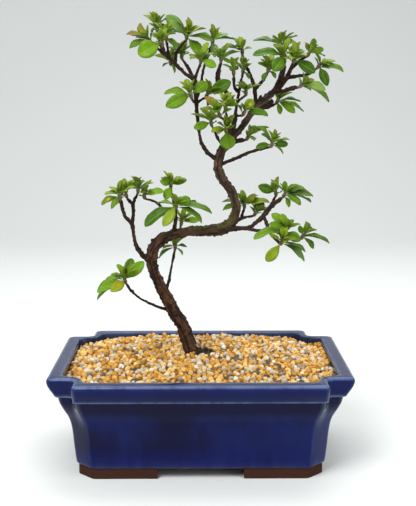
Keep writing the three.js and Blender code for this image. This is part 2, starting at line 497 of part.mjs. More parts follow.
function block(width, depth, bottom, top) {
  const box = new THREE.BoxGeometry(width, depth, top - bottom);
  return toSolid(box.translate(0, 0, (top + bottom) / 2));
}

// Screens: a flat square of plastic mesh over each drain hole.

function makeScreen(x) {
  const top = FLOOR_TOP + SCREEN_THICKNESS;
  let screen = block(SCREEN_SIDE, SCREEN_SIDE, FLOOR_TOP, top);
  const pitch = (SCREEN_SIDE - SCREEN_BAR) / SCREEN_HOLES;
  const side = pitch - SCREEN_BAR;
  const hole = block(side, side, FLOOR_TOP - CUT_PAST, top + CUT_PAST);
  for (let row = 0; row < SCREEN_HOLES; row += 1) {
    for (let column = 0; column < SCREEN_HOLES; column += 1) {
      const across = (column - (SCREEN_HOLES - 1) / 2) * pitch;
      const away = (row - (SCREEN_HOLES - 1) / 2) * pitch;
      screen = screen.subtract(hole.translate([across, away, 0]));
    }
  }
  return toGeometry(screen.translate([x, 0, 0]));
}

// Soil: a bed mounded in the middle, with a grain-sized relief, cut to the pot's inside.

function soilHeight(x, y) {
  const across = Math.abs(x) / (POT_WIDTH / 2 - RIM_BREADTH);
  const away = Math.abs(y - SOIL_CREST_BACK) / (POT_DEPTH / 2 + SOIL_SPREAD_BACK);
  const fall = Math.min(1, Math.pow(across, SOIL_FALL_POWER) + Math.pow(away, SOIL_FALL_POWER));
  return SOIL_MIDDLE - (SOIL_MIDDLE - SOIL_EDGE) * fall;
}

function makeSoil(rootHole) {
  const random = seeded(GRAIN_SEED);
  const columns = Math.ceil((POT_WIDTH - 2 * BED_MARGIN) / GRAIN_PITCH);
  const rows = Math.ceil((POT_DEPTH - 2 * BED_MARGIN) / GRAIN_PITCH);
  const bottom = FLOOR_TOP - 2 * CUT_PAST;
  const points = [];
  const faces = [];
  for (let row = 0; row <= rows; row += 1) {
    for (let column = 0; column <= columns; column += 1) {
      const x = (column - columns / 2 + (random() - 0.5) * GRAIN_JITTER) * GRAIN_PITCH;
      const y = (row - rows / 2 + (random() - 0.5) * GRAIN_JITTER) * GRAIN_PITCH;
      points.push([x, y, soilHeight(x, y) + (random() - GRAIN_SINK) * 2 * GRAIN_RELIEF]);
    }
  }
  const at = (row, column) => row * (columns + 1) + column;
  for (let row = 0; row < rows; row += 1) {
    for (let column = 0; column < columns; column += 1) {
      const [a, b] = [at(row, column), at(row, column + 1)];
      const [c, d] = [at(row + 1, column), at(row + 1, column + 1)];
      faces.push([a, b, d], [a, d, c]);
    }
  }
  const border = [];
  for (let column = 0; column < columns; column += 1) {
    border.push(at(0, column));
  }
  for (let row = 0; row < rows; row += 1) {
    border.push(at(row, columns));
  }
  for (let column = columns; column > 0; column -= 1) {
    border.push(at(rows, column));
  }
  for (let row = rows; row > 0; row -= 1) {
    border.push(at(row, 0));
  }
  const below = points.length;
  border.forEach((index) => points.push([points[index][0], points[index][1], bottom]));
  const centre = points.length;
  points.push([0, 0, bottom]);
  border.forEach((index, place) => {
    const next = (place + 1) % border.length;
    faces.push([below + place, below + next, border[next]], [below + place, border[next], index]);
    faces.push([centre, below + next, below + place]);
  });
  const bed = toSolid(meshed(points, faces));
  const shrunk = (shape) => ({ ...shape, inset: shape.inset + CLEARANCE });
  const inside = toSolid(loft([
    potRing(shrunk(MOUTH_SHAPE), POT_HEIGHT + BED_MARGIN),
    potRing(shrunk(MOUTH_SHAPE), MOUTH_FOOT),
    potRing(shrunk(CAVITY_SHAPE), CAVITY_TOP),
    potRing(shrunk(CAVITY_SHAPE), FLOOR_TOP + CLEARANCE / 2),
  ], true));
  let soil = bed.intersect(inside).subtract(rootHole);
  const pocketSide = SCREEN_SIDE + 2 * CLEARANCE;
  const pocketTop = FLOOR_TOP + SCREEN_THICKNESS + CLEARANCE;
  for (const x of DRAIN_HOLE_PLACES) {
    const pocket = block(pocketSide, pocketSide, FLOOR_TOP - CUT_PAST, pocketTop);
    soil = soil.subtract(pocket.translate([x, 0, 0]));
  }
  return toGeometry(soil);
}

// Wood: each stem is a tapering tube through its points.

// A place seen on the middle plane, moved along the line of sight to its depth. The last value,
// a radius or a breadth, stays.
function inDepth([right, back, up, size]) {
  const away = 1 - back / VIEWER.y;
  return [VIEWER.x + (right - VIEWER.x) * away, back, VIEWER.z + (up - VIEWER.z) * away, size];
}

const STEMS = Object.fromEntries(
  Object.entries(WOOD).map(([name, points]) => [name, points.map(inDepth)]));

function stemRings(points, sides, spread = 0) {
  const curve = new THREE.CatmullRomCurve3(
    points.map(([x, y, z]) => new THREE.Vector3(x, y, z)), false, "catmullrom", 0.5);
  const count = points.length - 1;
  const rings = [];
  let side = new THREE.Vector3(0, 1, 0);
  for (let step = 0; step <= count; step += 1) {
    const t = step / count;
    const centre = curve.getPoint(t);
    const forward = curve.getTangent(t);
    side = side.sub(forward.clone().multiplyScalar(side.dot(forward))).normalize();
    const other = forward.clone().cross(side);
    const radius = points[step][3] + spread;
    const ring = [];
    for (let index = 0; index < sides; index += 1) {
      const angle = (index / sides) * Math.PI * 2;
      const wave = Math.sin(TRUNK_LOBES * angle + TRUNK_LOBE_TWIST * step);
      const lobe = sides === TRUNK_SIDES ? 1 + TRUNK_LOBE_SHARE * wave : 1;
      const point = centre.clone()
        .addScaledVector(side, radius * lobe * Math.cos(angle))
        .addScaledVector(other, radius * lobe * Math.sin(angle));
      ring.push([point.x, point.y, point.z]);
    }
    rings.push(ring);
  }
  return rings;
}

// A stem carried on below the soil, where it swells and then ends bluntly.
function rooted(points, depth) {
  const [x, y, z, radius] = points[0];
  const end = [x + ROOT_SHIFT_RIGHT, y + ROOT_SHIFT_BACK, z - depth, radius * ROOT_END_SHARE];
  const swell = [x + ROOT_SHIFT_RIGHT / 2, y + ROOT_SHIFT_BACK / 2, z - depth / 2,
    radius * ROOT_SWELL_SHARE];
  return [end, swell, ...points];
}

function makeWood() {
  let wood = toSolid(loft(stemRings(rooted(STEMS.trunk, ROOT_DEPTH), TRUNK_SIDES)));
  for (const [name, points] of Object.entries(STEMS)) {
    if (name === "trunk") continue;
    const thick = points[0][3] > TWIG_RADIUS;
    wood = wood.add(toSolid(loft(stemRings(points, thick ? BRANCH_SIDES : TWIG_SIDES))));
  }
  return toGeometry(wood);
}

// The plain hole in the soil that the trunk stands in.
function makeRootHole() {
  const [first, second, ...rest] = rooted(STEMS.trunk, ROOT_DEPTH);
  const deeper = [first[0] + ROOT_HOLE_SPREAD / 2, first[1], first[2] - CLEARANCE, first[3]];
  const points = [deeper, second, ...rest.slice(0, 3)];
  return toSolid(loft(stemRings(points, TRUNK_SIDES, ROOT_HOLE_SPREAD)));
}

// Leaves: each is a folded, arched blade from its shoot to its tip.

const vector = ([x, y, z]) => new THREE.Vector3(x, y, z);
const between = ([low, high], share) => low + (high - low) * share;

// The blade's half width at a place along it, as a share of its greatest.
function bladeShare(t) {
  return Math.pow(Math.sin(Math.PI * Math.pow(t, BLADE_SKEW)), BLADE_FULLNESS);
}

// A leaf's frame: its length, the way it runs, the way its upper face looks, and its breadth.
function leafFrame(base, tip, axis, seenBreadth) {
  const run = tip.clone().sub(base);
  const length = run.length();
  run.normalize();
  let breadth = Math.min(WIDEST_LEAF, LEAF_PROPORTION * length + LEAF_BREADTH_MORE);
  const outward = axis.clone().addScaledVector(run, -axis.dot(run));
  if (outward.length() < EDGE_ON) outward.copy(FRONT_VIEW).negate();
  outward.addScaledVector(run, -outward.dot(run)).normalize();
  let face = outward;
  if (seenBreadth > 0) {
    breadth = Math.max(breadth, seenBreadth);
    const toViewer = FRONT_VIEW.clone().negate();
    toViewer.addScaledVector(run, -toViewer.dot(run));
    const most = toViewer.length();
    toViewer.normalize();
    const turn = Math.acos(Math.min(1, seenBreadth / (breadth * Math.max(most, EDGE_ON))));
    const sideways = run.clone().cross(toViewer);
    if (sideways.dot(outward) < 0) sideways.negate();
    face = toViewer.multiplyScalar(Math.cos(turn)).addScaledVector(sideways, Math.sin(turn));
  }
  return { base, tip, run, length, breadth, face };
}

function leafPoint(leaf, t, across) {
  const side = leaf.run.clone().cross(leaf.face);
  const half = (leaf.breadth / 2) * bladeShare(t);
  const lift = 4 * t * (1 - t) * LEAF_ARCH * leaf.length;
  const fold = Math.abs(across) * half * LEAF_FOLD * 2;
  return leaf.base.clone()
    .addScaledVector(leaf.run, t * leaf.length)
    .addScaledVector(side, across * half)
    .addScaledVector(leaf.face, lift + fold);
}

// Points spread over a blade, for keeping it clear of others.
function leafSamples(leaf) {
  const samples = [];
  for (const t of [0.22, 0.34, 0.46, 0.58, 0.7, 0.82, 0.91, 1]) {
    for (const across of t === 1 ? [0] : [-1, -0.5, 0, 0.5, 1]) {
      samples.push(leafPoint(leaf, t, across));
    }
  }
  return samples;
}

function woodSamples() {
  const samples = [];
  for (const points of Object.values(STEMS)) {
    const curve = new THREE.CatmullRomCurve3(points.map(vector), false, "catmullrom", 0.5);
    const count = (points.length - 1) * WOOD_SAMPLES_A_SPAN;
    for (let step = 0; step <= count; step += 1) {
      const t = step / count;
      const place = Math.min(points.length - 2, Math.floor(t * (points.length - 1)));
      const radius = Math.max(points[place][3], points[place + 1][3]);
      samples.push({ at: curve.getPoint(t), reach: radius + WOOD_CLEARANCE });
    }
  }
  return samples;
}

function clearOf(samples, others, reach) {
  return samples.every((sample) => {
    return others.every((other) => sample.distanceToSquared(other) >= reach * reach);
  });
}

function clearOfWood(samples, wood) {
  return samples.every((sample) => {
    return wood.every(({ at, reach }) => sample.distanceToSquared(at) >= reach * reach);
  });
}

// Where a leaf may go when its first place is taken: nearer or further from the front, then
// also a little to one side.
function* nudges() {
  for (const [right, up] of [[0, 0], [2, 0], [-2, 0], [0, 2], [0, -2], [3, 3], [-3, 3]]) {
    for (let step = 0; step < NUDGE_STEPS; step += 1) {
      const back = (step % 2 === 0 ? 1 : -1) * Math.ceil(step / 2) * NUDGE_STEP;
      yield new THREE.Vector3(right, back, up);
    }
  }
}

function shootFrame(shoot) {
  const points = STEMS[shoot.on];
  const end = vector(points.at(-1));
  const forward = end.clone().sub(vector(points.at(-2))).normalize();
  const axis = vector(shoot.axis).normalize();
  return { end, forward, axis };
}

// The place on a shoot that a leaf running towards a point grows from.
function leafBase(frame, towards, height) {
  const centre = frame.end.clone()
    .addScaledVector(frame.forward, SHOOT_NECK)
    .addScaledVector(frame.axis, height);
  const run = towards.clone().sub(centre);
  run.addScaledVector(frame.axis, -run.dot(frame.axis));
  if (run.length() > WELD) run.normalize();
  return centre.addScaledVector(run, SHOOT_RADIUS * LEAF_ROOT_SHARE);
}

// Places every leaf of every shoot: the shown ones first, then the ones that fill each shoot.
function placeLeaves() {
  const wood = woodSamples();
  const shoots = Object.entries(SHOOTS).map(([name, shoot]) => {
    return { name, shoot, frame: shootFrame(shoot), leaves: [], samples: [], outer: [] };
  });
  const cores = shoots.map(({ frame }) => {
    const { end, axis } = frame;
    return SHOOT_CORE_HEIGHTS.map((height) => end.clone().addScaledVector(axis, height));
  });
  const settle = (entry, tip, breadth, height) => {
    const base = leafBase(entry.frame, tip, height);
    const leaf = leafFrame(base, tip, entry.frame.axis, breadth);
    const samples = leafSamples(leaf);
    const middle = base.clone().add(tip).multiplyScalar(0.5);
    const near = (point) => point.distanceTo(middle) < leaf.length;
    if (samples.some((sample) => sample.z < SOIL_MIDDLE + LEAF_ABOVE_SOIL)) return false;
    if (!clearOfWood(samples, wood.filter(({ at }) => near(at)))) return false;
    for (const [index, other] of shoots.entries()) {
      if (other === entry) continue;
      if (other.frame.end.distanceTo(middle) > FURTHEST_NEIGHBOUR) continue;
      if (!clearOf(samples, cores[index], LEAF_CLEARANCE + SHOOT_RADIUS)) return false;
      if (!clearOf(samples, other.samples.filter(near), LEAF_CLEARANCE)) return false;
    }
    const outer = samples.slice(OUTER_SAMPLES);
    if (!clearOf(outer, entry.outer, SISTER_CLEARANCE)) return false;
    entry.leaves.push(leaf);
    entry.samples.push(...samples);
    entry.outer.push(...outer);
    return true;
  };
  for (const entry of shoots) {
    const { leaves } = entry.shoot;
    leaves.map(inDepth).forEach(([right, back, up, breadth]) => {
      for (const nudge of nudges()) {
        const tip = vector([right, back, up]).add(nudge);
        const upright = tip.clone().sub(entry.frame.end).normalize().dot(entry.frame.axis);
        if (settle(entry, tip, breadth, LEVEL_LEAF_HEIGHT + UPRIGHT_LEAF_RISE * upright)) break;
      }
    });
  }
  shoots.forEach((entry, order) => {
    const random = seeded(FILLER_SEED + order);
    const { end, axis } = entry.frame;
    const side = new THREE.Vector3(1, 0, 0).addScaledVector(axis, -axis.x).normalize();
    const other = axis.clone().cross(side);
    let placed = 0;
    for (let turn = 0; turn < FILLER_TRIES && placed < entry.shoot.more; turn += 1) {
      const angle = turn * GOLDEN_ANGLE + order;
      const lean = between(FILLER_LEAN, random());
      const length = entry.shoot.size * between(FILLER_LENGTH, random());
      const tip = end.clone()
        .addScaledVector(axis, FILLER_RISE + length * Math.cos(lean))
        .addScaledVector(side, length * Math.sin(lean) * Math.cos(angle))
        .addScaledVector(other, length * Math.sin(lean) * Math.sin(angle));
      if (settle(entry, tip, 0, FILLER_FOOT + FILLER_STEP * placed)) placed += 1;
    }
  });
  return shoots;
}

// A blade is cut across at one or two stations, and the smallest have no fold. Its root and
// its tip come to points.
function bladeSolid(leaf) {
  const down = leaf.face.clone().multiplyScalar(-LEAF_THICKNESS);
  const stations = leaf.breadth > LONG_BLADE_BREADTH ? [0.42, 0.74] : [0.56];
  const acrosses = leaf.breadth > FOLDED_BREADTH ? [-1, 0, 1] : [-1, 1];
  const upper = stations.flatMap((t) => acrosses.map((across) => leafPoint(leaf, t, across)));
  const lower = upper.map((point) => point.clone().add(down));
  const width = acrosses.length;
  const count = upper.length;
  const [root, tip] = [2 * count, 2 * count + 1];
  const ends = [leaf.base, leaf.tip.clone().addScaledVector(down, 0.5)];
  const faces = [];
  for (let a = 0; a < width - 1; a += 1) {
    const b = a + 1;
    const [c, d] = [a + count - width, b + count - width];
    faces.push([root, b, a], [root, a + count, b + count]);
    faces.push([tip, c, d], [tip, d + count, c + count]);
    if (stations.length > 1) {
      faces.push([a, b, d], [a, d, c]);
      faces.push([a + count, d + count, b + count], [a + count, c + count, d + count]);
    }
  }
  const [first, last] = [0, count - width];
  faces.push(...edgeFaces(root, first, last, tip, count));
  const mirrored = edgeFaces(root, width - 1, count - 1, tip, count);
  faces.push(...mirrored.map(([a, b, c]) => [a, c, b]));
  return toSolid(meshed([...upper, ...lower, ...ends].map((point) => point.toArray()), faces));
}

// The narrow faces along one edge of a blade, from its root to its tip.
function edgeFaces(root, first, last, tip, count) {
  const faces = [[root, first, first + count], [last, tip, last + count]];
  if (first !== last) {
    faces.push([first, last, last + count], [first, last + count, first + count]);
  }
  return faces;
}

function shootSolid({ end, forward, axis }) {
  const path = [
    end.clone().addScaledVector(forward, CLEARANCE),
    end.clone().addScaledVector(forward, SHOOT_NECK),
    end.clone().addScaledVector(forward, SHOOT_NECK).addScaledVector(axis, SHOOT_LENGTH),
  ];
  const radii = [SHOOT_NECK_RADIUS, SHOOT_RADIUS, SHOOT_RADIUS * SHOOT_END_SHARE];
  const points = path.map((point, index) => [...point.toArray(), radii[index]]);
  return toSolid(loft(stemRings(points, BRANCH_SIDES)));
}

function makeShoot({ frame, leaves }) {
  const fused = leaves.reduce((solid, leaf) => solid.add(bladeSolid(leaf)), shootSolid(frame));
  return toGeometry(filled(fused));
}

// The outer skin alone, so that a hollow sealed between crossing blades is filled.
function filled(solid) {
  const skins = solid.decompose();
  return skins.reduce((most, skin) => (skin.numTri() > most.numTri() ? skin : most));
}

const bonsai = new THREE.Group();
bonsai.add(part("pot", makePot(), COLOURS.glaze));
bonsai.add(part("drain_screen_left", makeScreen(DRAIN_HOLE_PLACES[0]), COLOURS.mesh));
bonsai.add(part("drain_screen_right", makeScreen(DRAIN_HOLE_PLACES[1]), COLOURS.mesh));
bonsai.add(part("soil", makeSoil(makeRootHole()), COLOURS.soil));
bonsai.add(part("wood", makeWood(), COLOURS.bark));
for (const entry of placeLeaves()) {
  bonsai.add(part(`leaves_${entry.name}`, makeShoot(entry), COLOURS.leaf));
}

export default bonsai;
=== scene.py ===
"""A satsuki azalea bonsai in its dark blue glazed pot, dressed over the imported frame."""

import math

import bmesh
import bpy
import numpy as np
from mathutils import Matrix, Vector, kdtree, noise


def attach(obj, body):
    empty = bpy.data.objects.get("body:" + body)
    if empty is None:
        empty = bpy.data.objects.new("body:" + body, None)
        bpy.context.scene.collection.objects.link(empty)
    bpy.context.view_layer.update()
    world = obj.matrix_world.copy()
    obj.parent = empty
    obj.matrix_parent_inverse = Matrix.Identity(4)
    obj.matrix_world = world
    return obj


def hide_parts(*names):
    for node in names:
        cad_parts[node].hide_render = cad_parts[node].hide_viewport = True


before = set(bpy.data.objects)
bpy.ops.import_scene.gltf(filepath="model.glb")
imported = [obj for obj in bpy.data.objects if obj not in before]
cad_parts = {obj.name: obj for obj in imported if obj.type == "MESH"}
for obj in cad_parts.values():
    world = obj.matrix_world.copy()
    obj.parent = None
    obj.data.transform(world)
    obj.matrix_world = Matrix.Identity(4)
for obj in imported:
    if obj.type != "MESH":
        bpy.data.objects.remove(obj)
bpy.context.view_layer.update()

MM = 0.001

# Camera: the viewer's eye, how it is turned, and its lens.
EYE = (-0.001, -0.683, 0.253)
EYE_TILT = math.radians(80.94)
EYE_TURN = math.radians(-0.53)
EYE_LENS = 69.68
EYE_SENSOR = 36.0

# Backdrop and lights.
FLOOR_WIDTH = 4.0
FLOOR_FRONT = -1.6
FLOOR_BACK = 1.0
SWEEP_RADIUS = 0.6
SWEEP_STEPS = 12
WALL_TOP = 2.4
PAPER = (0.72, 0.74, 0.72, 1.0)
PAPER_ROUGHNESS = 0.9
AIR = (0.86, 0.89, 0.92, 1.0)
AIR_STRENGTH = 0.55
MIDDLE = Vector((0.0, 0.0, 0.16))
LIGHTS = {
    "key": {"at": (-0.55, -0.75, 1.05), "size": 0.7, "watts": 16.0},
    "fill": {"at": (0.95, -0.6, 0.6), "size": 1.1, "watts": 7.0},
    "top": {"at": (0.1, 0.45, 1.1), "size": 0.9, "watts": 9.0},
}

# Pot, in millimetres as in the solids.
POT_WIDTH = 205
POT_DEPTH = 155
CHAMFER_SPAN = (0.3, 0.7)
CORNER_STEPS = 8
HOLLOW_STEPS = 12
BODY = {"notch": 8, "filled": 1, "corner": 5, "hollow": 3}
BAND = {"filled": 0, "corner": 3.5, "hollow": 5}
CAVITY = {"notch": 19, "filled": 1, "corner": 9, "hollow": 3}
MOUTH = {"notch": 16, "filled": 0.25, "corner": 4, "hollow": 12}
# The body from its foot to the band: height, inset, corner chamfer, how far it is filled, and
# how thin the glaze lies.
BODY_PROFILE = [(7, 20, 8, 1, 0.3), (7.6, 19, 8, 1, 0.5), (9.5, 18, 8, 1, 0.1), (20, 16.9, 8, 1, 0),
                (32, 15.8, 8.5, 1, 0), (40, 14, 9.5, 0.9, 0), (47, 10.3, 11.5, 0.75, 0),
                (52, 8, 12.5, 0.5, 0), (56.4, 7.2, 12.9, 0.2, 0)]
BODY_STEPS = 4
# The band's leaning face: height, inset, notch, and how thin the glaze lies, which paints pale
# lines along the band's lower and upper edges, partly thin glaze and partly painted highlights.
BAND_PROFILE = [(56.45, 6.5, 13.4, 0), (56.5, 5.95, 13.4, 0.1), (56.7, 5.5, 13.6, 0.6),
                (57.0, 5.2, 13.8, 1), (57.4, 4.95, 14.1, 0.8), (58.0, 4.6, 14.5, 0.15),
                (59.6, 3.5, 15.5, 0), (61.5, 2.1, 16.9, 0), (63.5, 0.9, 18.1, 0),
                (65, 0.3, 18.7, 0), (66.4, 0, 19, 0),
                (67.7, 0.15, 19, 0.1), (68.4, 0.4, 19, 0.6), (68.9, 0.8, 19, 1),
                (69.4, 1.4, 19, 0.8), (69.8, 2.2, 19, 0.3), (70, 3.2, 19, 0)]
# The rim's top and its inside: height, inset, and how thin the glaze lies, which paints a pale line
# along the rim's inner edge, partly thin glaze and partly painted highlight.
RIM_PROFILE = [(70, 8.0, 0.2), (69.9, 8.9, 0.5), (69.6, 9.5, 0.7), (68.8, 10, 0.3), (62, 10, 0),
               (55, 10, 0)]
CAVITY_PROFILE = [(40, 25, 0), (13, 25, 0)]
# On the crests of the rounded corners the glaze is painted pale, partly thin glaze and partly
# painted highlight.
EDGE_THINNESS_AND_HIGHLIGHT = 0.16
INNER_WALL_TOP = 69.7
FOOT_INSET = 19.5
FOOT_BREADTH = 12
FOOT_HEIGHT = 7
FOOT_OVERLAP = 1
FOOT_GAP_FRONT = 58
FOOT_GAP_SIDE = 44
CUT_PAST = 1
DRAIN_HOLE_RADIUS = 7
DRAIN_HOLE_SIDES = 48
DRAIN_HOLE_PLACES = (-46, 46)
DRAIN_HOLE_TOP = 20
POT_SHARP_OVER = 38

# The glaze: its colours where it pools and where it is bright, then the heights between which it
# turns into another, and back where it does, with how fully and into which colour. Near the foot
# it turns a brighter blue, a painted reflection; under the band near black, a painted shade; and
# from the band up a brighter blue.
GLAZE_DEPTHS = ((0.0007, 0.0012, 0.026), (0.0022, 0.0075, 0.072))
GLAZE_ZONES = (
    # Near the foot: a brighter, more saturated blue, a painted reflection.
    ((26, 12), None, 0.6, (0.0009, 0.0028, 0.080)),
    # Under the band: near black, a painted shade.
    ((44, 50), (57.5, 56), 0.75, (0.0006, 0.0009, 0.016)),
    ((57, 58.5), None, 0.75, (0.0020, 0.0058, 0.062)),
)
# The rim's top turns a paler slate blue: a painted reflection of the bright surroundings.
GLAZE_RIM_REFLECTION_FROM = (69, 69.8)
GLAZE_RIM_REFLECTION = (0.028, 0.031, 0.066)
# The inner wall turns near black: a painted shade.
GLAZE_INSIDE_SHADE = (0.0010, 0.0014, 0.013)
# Pale edges: partly thin broken glaze, partly painted highlight.
GLAZE_BROKEN_AND_HIGHLIGHT = (0.10, 0.14, 0.27)
GLAZE_IOR = 1.5
CLAY_EDGE = 6.8
CLAY_EDGE_RAGGED = 1.6
CLAY_EDGE_SOFT = 0.3
# Bare clay: its own dark brown, darkened further as painted shade.
CLAY_AND_PAINTED_SHADE = ((0.014, 0.005, 0.003), (0.070, 0.026, 0.014))
NETTING = ((0.012, 0.012, 0.012), (0.05, 0.048, 0.045))

# Soil: the bed, then the grains on it, of each kind its share, its sizes, its dark, middle and
# light tone and how porous it is.
WELD = 0.01
BED_TOP_ABOVE = 58
BED_TOP_SLOPE = 0.3
BED_CUTS = 3
BED_CRUMBS = ((0.050, 0.024, 0.008), (0.150, 0.078, 0.024))
BED_DUST = (0.20, 0.12, 0.05)
# The hollow beside the trunk: its middle, its reach, and the near-black colour the soil turns
# there.
DARK_HOLLOW_MIDDLE = (2.0, 8.5, 68.0)
DARK_HOLLOW_REACH = (10, 7)
DARK_HOLLOW_SOIL = (0.004, 0.003, 0.002)
GRAIN_WALL_GAP = 11.1
GRAIN_SPACING = 2.75
GRAIN_SEED = 5
GRAIN_DENSITY = 400000.0
GRAIN_SHAPE = ((0.78, 0.78, 0.7), (1.15, 1.15, 1.0))
GRAIN_TURN = (6.28, 6.28, 6.28)
GRAIN_LUMP = 2.4
GRAIN_LUMP_SCALE = 520.0
GRAIN_SHARP_OVER = 24
GRAINS = {
    "akadama": {"share": (0.0, 0.72), "size": (2.8, 4.3), "pores": 0.5, "tones": (
        (0.23, 0.088, 0.014), (0.58, 0.300, 0.055), (0.84, 0.58, 0.22))},
    "pumice": {"share": (0.72, 0.94), "size": (2.9, 4.8), "pores": 0.6, "tones": (
        (0.25, 0.20, 0.13), (0.54, 0.47, 0.35), (0.74, 0.69, 0.58))},
    "lava": {"share": (0.94, 1.0), "size": (2.6, 4.1), "pores": 0.7, "tones": (
        (0.050, 0.036, 0.026), (0.16, 0.125, 0.10), (0.38, 0.33, 0.28))},
}

# Wood.
ROOT_DEPTH = 26
ROOT_SHIFT = (7, 1)
ROOT_SWELL = 1.15
ROOT_END = 0.7
STEM_SIDES = 16
STEM_SPACING = 0.7
BARK_VOXEL = 0.46
BARK_EASING = 0.5
BARK_EASING_ROUNDS = 2
SAMPLES_A_SPAN = 10
LOOK_AHEAD = 0.001
NEAREST_SAMPLES = 8
WOOD_SAMPLES_A_SPAN = 5
# Relief of the bark: how finely each kind repeats, across and along, and how deep it goes.
FURROW_SCALE = (0.42, 0.42, 0.085)
PLATE_SCALE = (0.8, 0.8, 0.24)
PLATE_SHIFT = 9
LUMP_SCALE = (0.13, 0.13, 0.13)
WART_SCALE = (0.55, 0.55, 0.45)
FURROW_DEPTH = 0.42
PLATE_DEPTHS = (0.34, 0.16)
LUMP_DEPTH = 0.55
WART_DEPTHS = (1.1, 0.45)
BOLD_RADIUS = 3.5
# Where moss grows on the trunk: the middle and the reach of each patch, right and up.
MOSS_STRETCH = (6, 22, 161, 9)
MOSS_BEND = (20, 9, 168, 11)
MOSS_ABOVE = (190, 26)
GREY_FROM = 118
GREY_OVER = 90
BARK = {
    "red": ((0.014, 0.005, 0.003), (0.125, 0.054, 0.027)),
    "pale": ((0.014, 0.008, 0.005), (0.135, 0.086, 0.056)),
    "twig": ((0.006, 0.003, 0.002), (0.050, 0.022, 0.013)),
    "moss": ((0.034, 0.036, 0.006), (0.150, 0.150, 0.032)),
}
BARK_FLAKE = (0.19, 0.080, 0.035)
BARK_CRACK = (0.010, 0.005, 0.004)

# Leaves.
LEAF_ARCH = 0.08
LEAF_FOLD = 0.2
LEAF_PROPORTION = 0.4
LEAF_BREADTH_MORE = 0.6
WIDEST_LEAF = 10
BLADE_SKEW = 1.15
BLADE_FULLNESS = 0.8
BLADE_THICKNESS = 0.45
BLADE_STATIONS = 11
BLADE_COLUMNS = 5
SHOOT_LENGTH = 4
SHOOT_RADIUS = 1.4
SHOOT_NECK_RADIUS = 0.9
SHOOT_NECK = 1.2
SHOOT_CORE_HEIGHTS = (1, 2.5, 4)
LEAF_ROOT_SHARE = 0.35
LEAF_ABOVE_SOIL = 74
LEAF_CLEARANCE = 1.9
WOOD_CLEARANCE = 1.3
SISTER_CLEARANCE = 1.2
OUTER_SAMPLES = 5
FURTHEST_NEIGHBOUR = 36
NUDGES = ((0, 0), (2, 0), (-2, 0), (0, 2), (0, -2), (3, 3), (-3, 3))
NUDGE_STEP = 1.6
NUDGE_STEPS = 10
FILLER_SEED = 100
FILLER_TRIES = 40
EDGE_ON = 0.05
LEVEL_LEAF_HEIGHT = 0.45 * SHOOT_LENGTH
UPRIGHT_LEAF_RISE = 0.33 * SHOOT_LENGTH
FILLER_LEAN = (0.75, 1.25)
FILLER_LENGTH = (0.75, 1.1)
FILLER_RISE = 2
FILLER_FOOT = 0.4
FILLER_STEP = 0.9
GOLDEN_ANGLE = math.pi * (3 - math.sqrt(5))
BUD_LEAVES = 9
BUD_TRIES = 24
BUD_LEAF_LENGTH = (6.5, 14.0)
BUD_LEAF_LEAN = (0.15, 1.3)
BUD_LEAF_PROPORTION = 0.40
BUD_UPRIGHT_SHARE = 0.68
BUD_CLEARANCE = 1.0
BUD_SEED = 7
BUD_ROOT_HEIGHT = SHOOT_LENGTH - 1
BUD_ROOT_OUT = 0.5
SHOWN_SKEW = 1.4
SHOWN_FULLNESS = 0.58
SHOWN_TAPER = (0.0, 0.38, 0.34, 1.0)
WAVES_A_LEAF = 1.6
WAVE_SHARE = 0.16
DROOP = (-0.05, -0.01)
LEAF_WELD = 0.02
TONE_SEED = 500
# A shoot's own stem: steps along the twig and then up the shoot, each with its radius.
SHOOT_NECK_ROWS = ((-0.5, 0.8), (0.3, SHOOT_NECK_RADIUS))
SHOOT_ROWS = ((0, 1.1), (0.8, SHOOT_RADIUS), (2.4, SHOOT_RADIUS * 0.92), (3.4, 0.95),
              (SHOOT_LENGTH, 0.3))
SHOOT_SIDES = 10
LEAF_GREENS = ((0.018, 0.068, 0.0011), (0.170, 0.320, 0.0044))
LEAF_MARGIN = (0.20, 0.36, 0.020)
LEAF_YELLOW = (0.30, 0.35, 0.008)
LEAF_GREY = (0.15, 0.25, 0.10)
LEAF_MIDRIB = (0.24, 0.36, 0.045)
LEAF_VEIN = (0.05, 0.12, 0.012)
LEAF_WITHERED = (0.23, 0.085, 0.03)
LEAF_SPOT = (0.60, 0.30, 0.010)
LEAF_UNDERSIDE = (0.11, 0.19, 0.045)
LEAF_IOR = 1.42
YOUNG_STEM = ((0.030, 0.014, 0.007), (0.125, 0.085, 0.028))
FRONT_VIEW = np.array([0, 0.99, -0.12]) / math.hypot(0.99, 0.12)

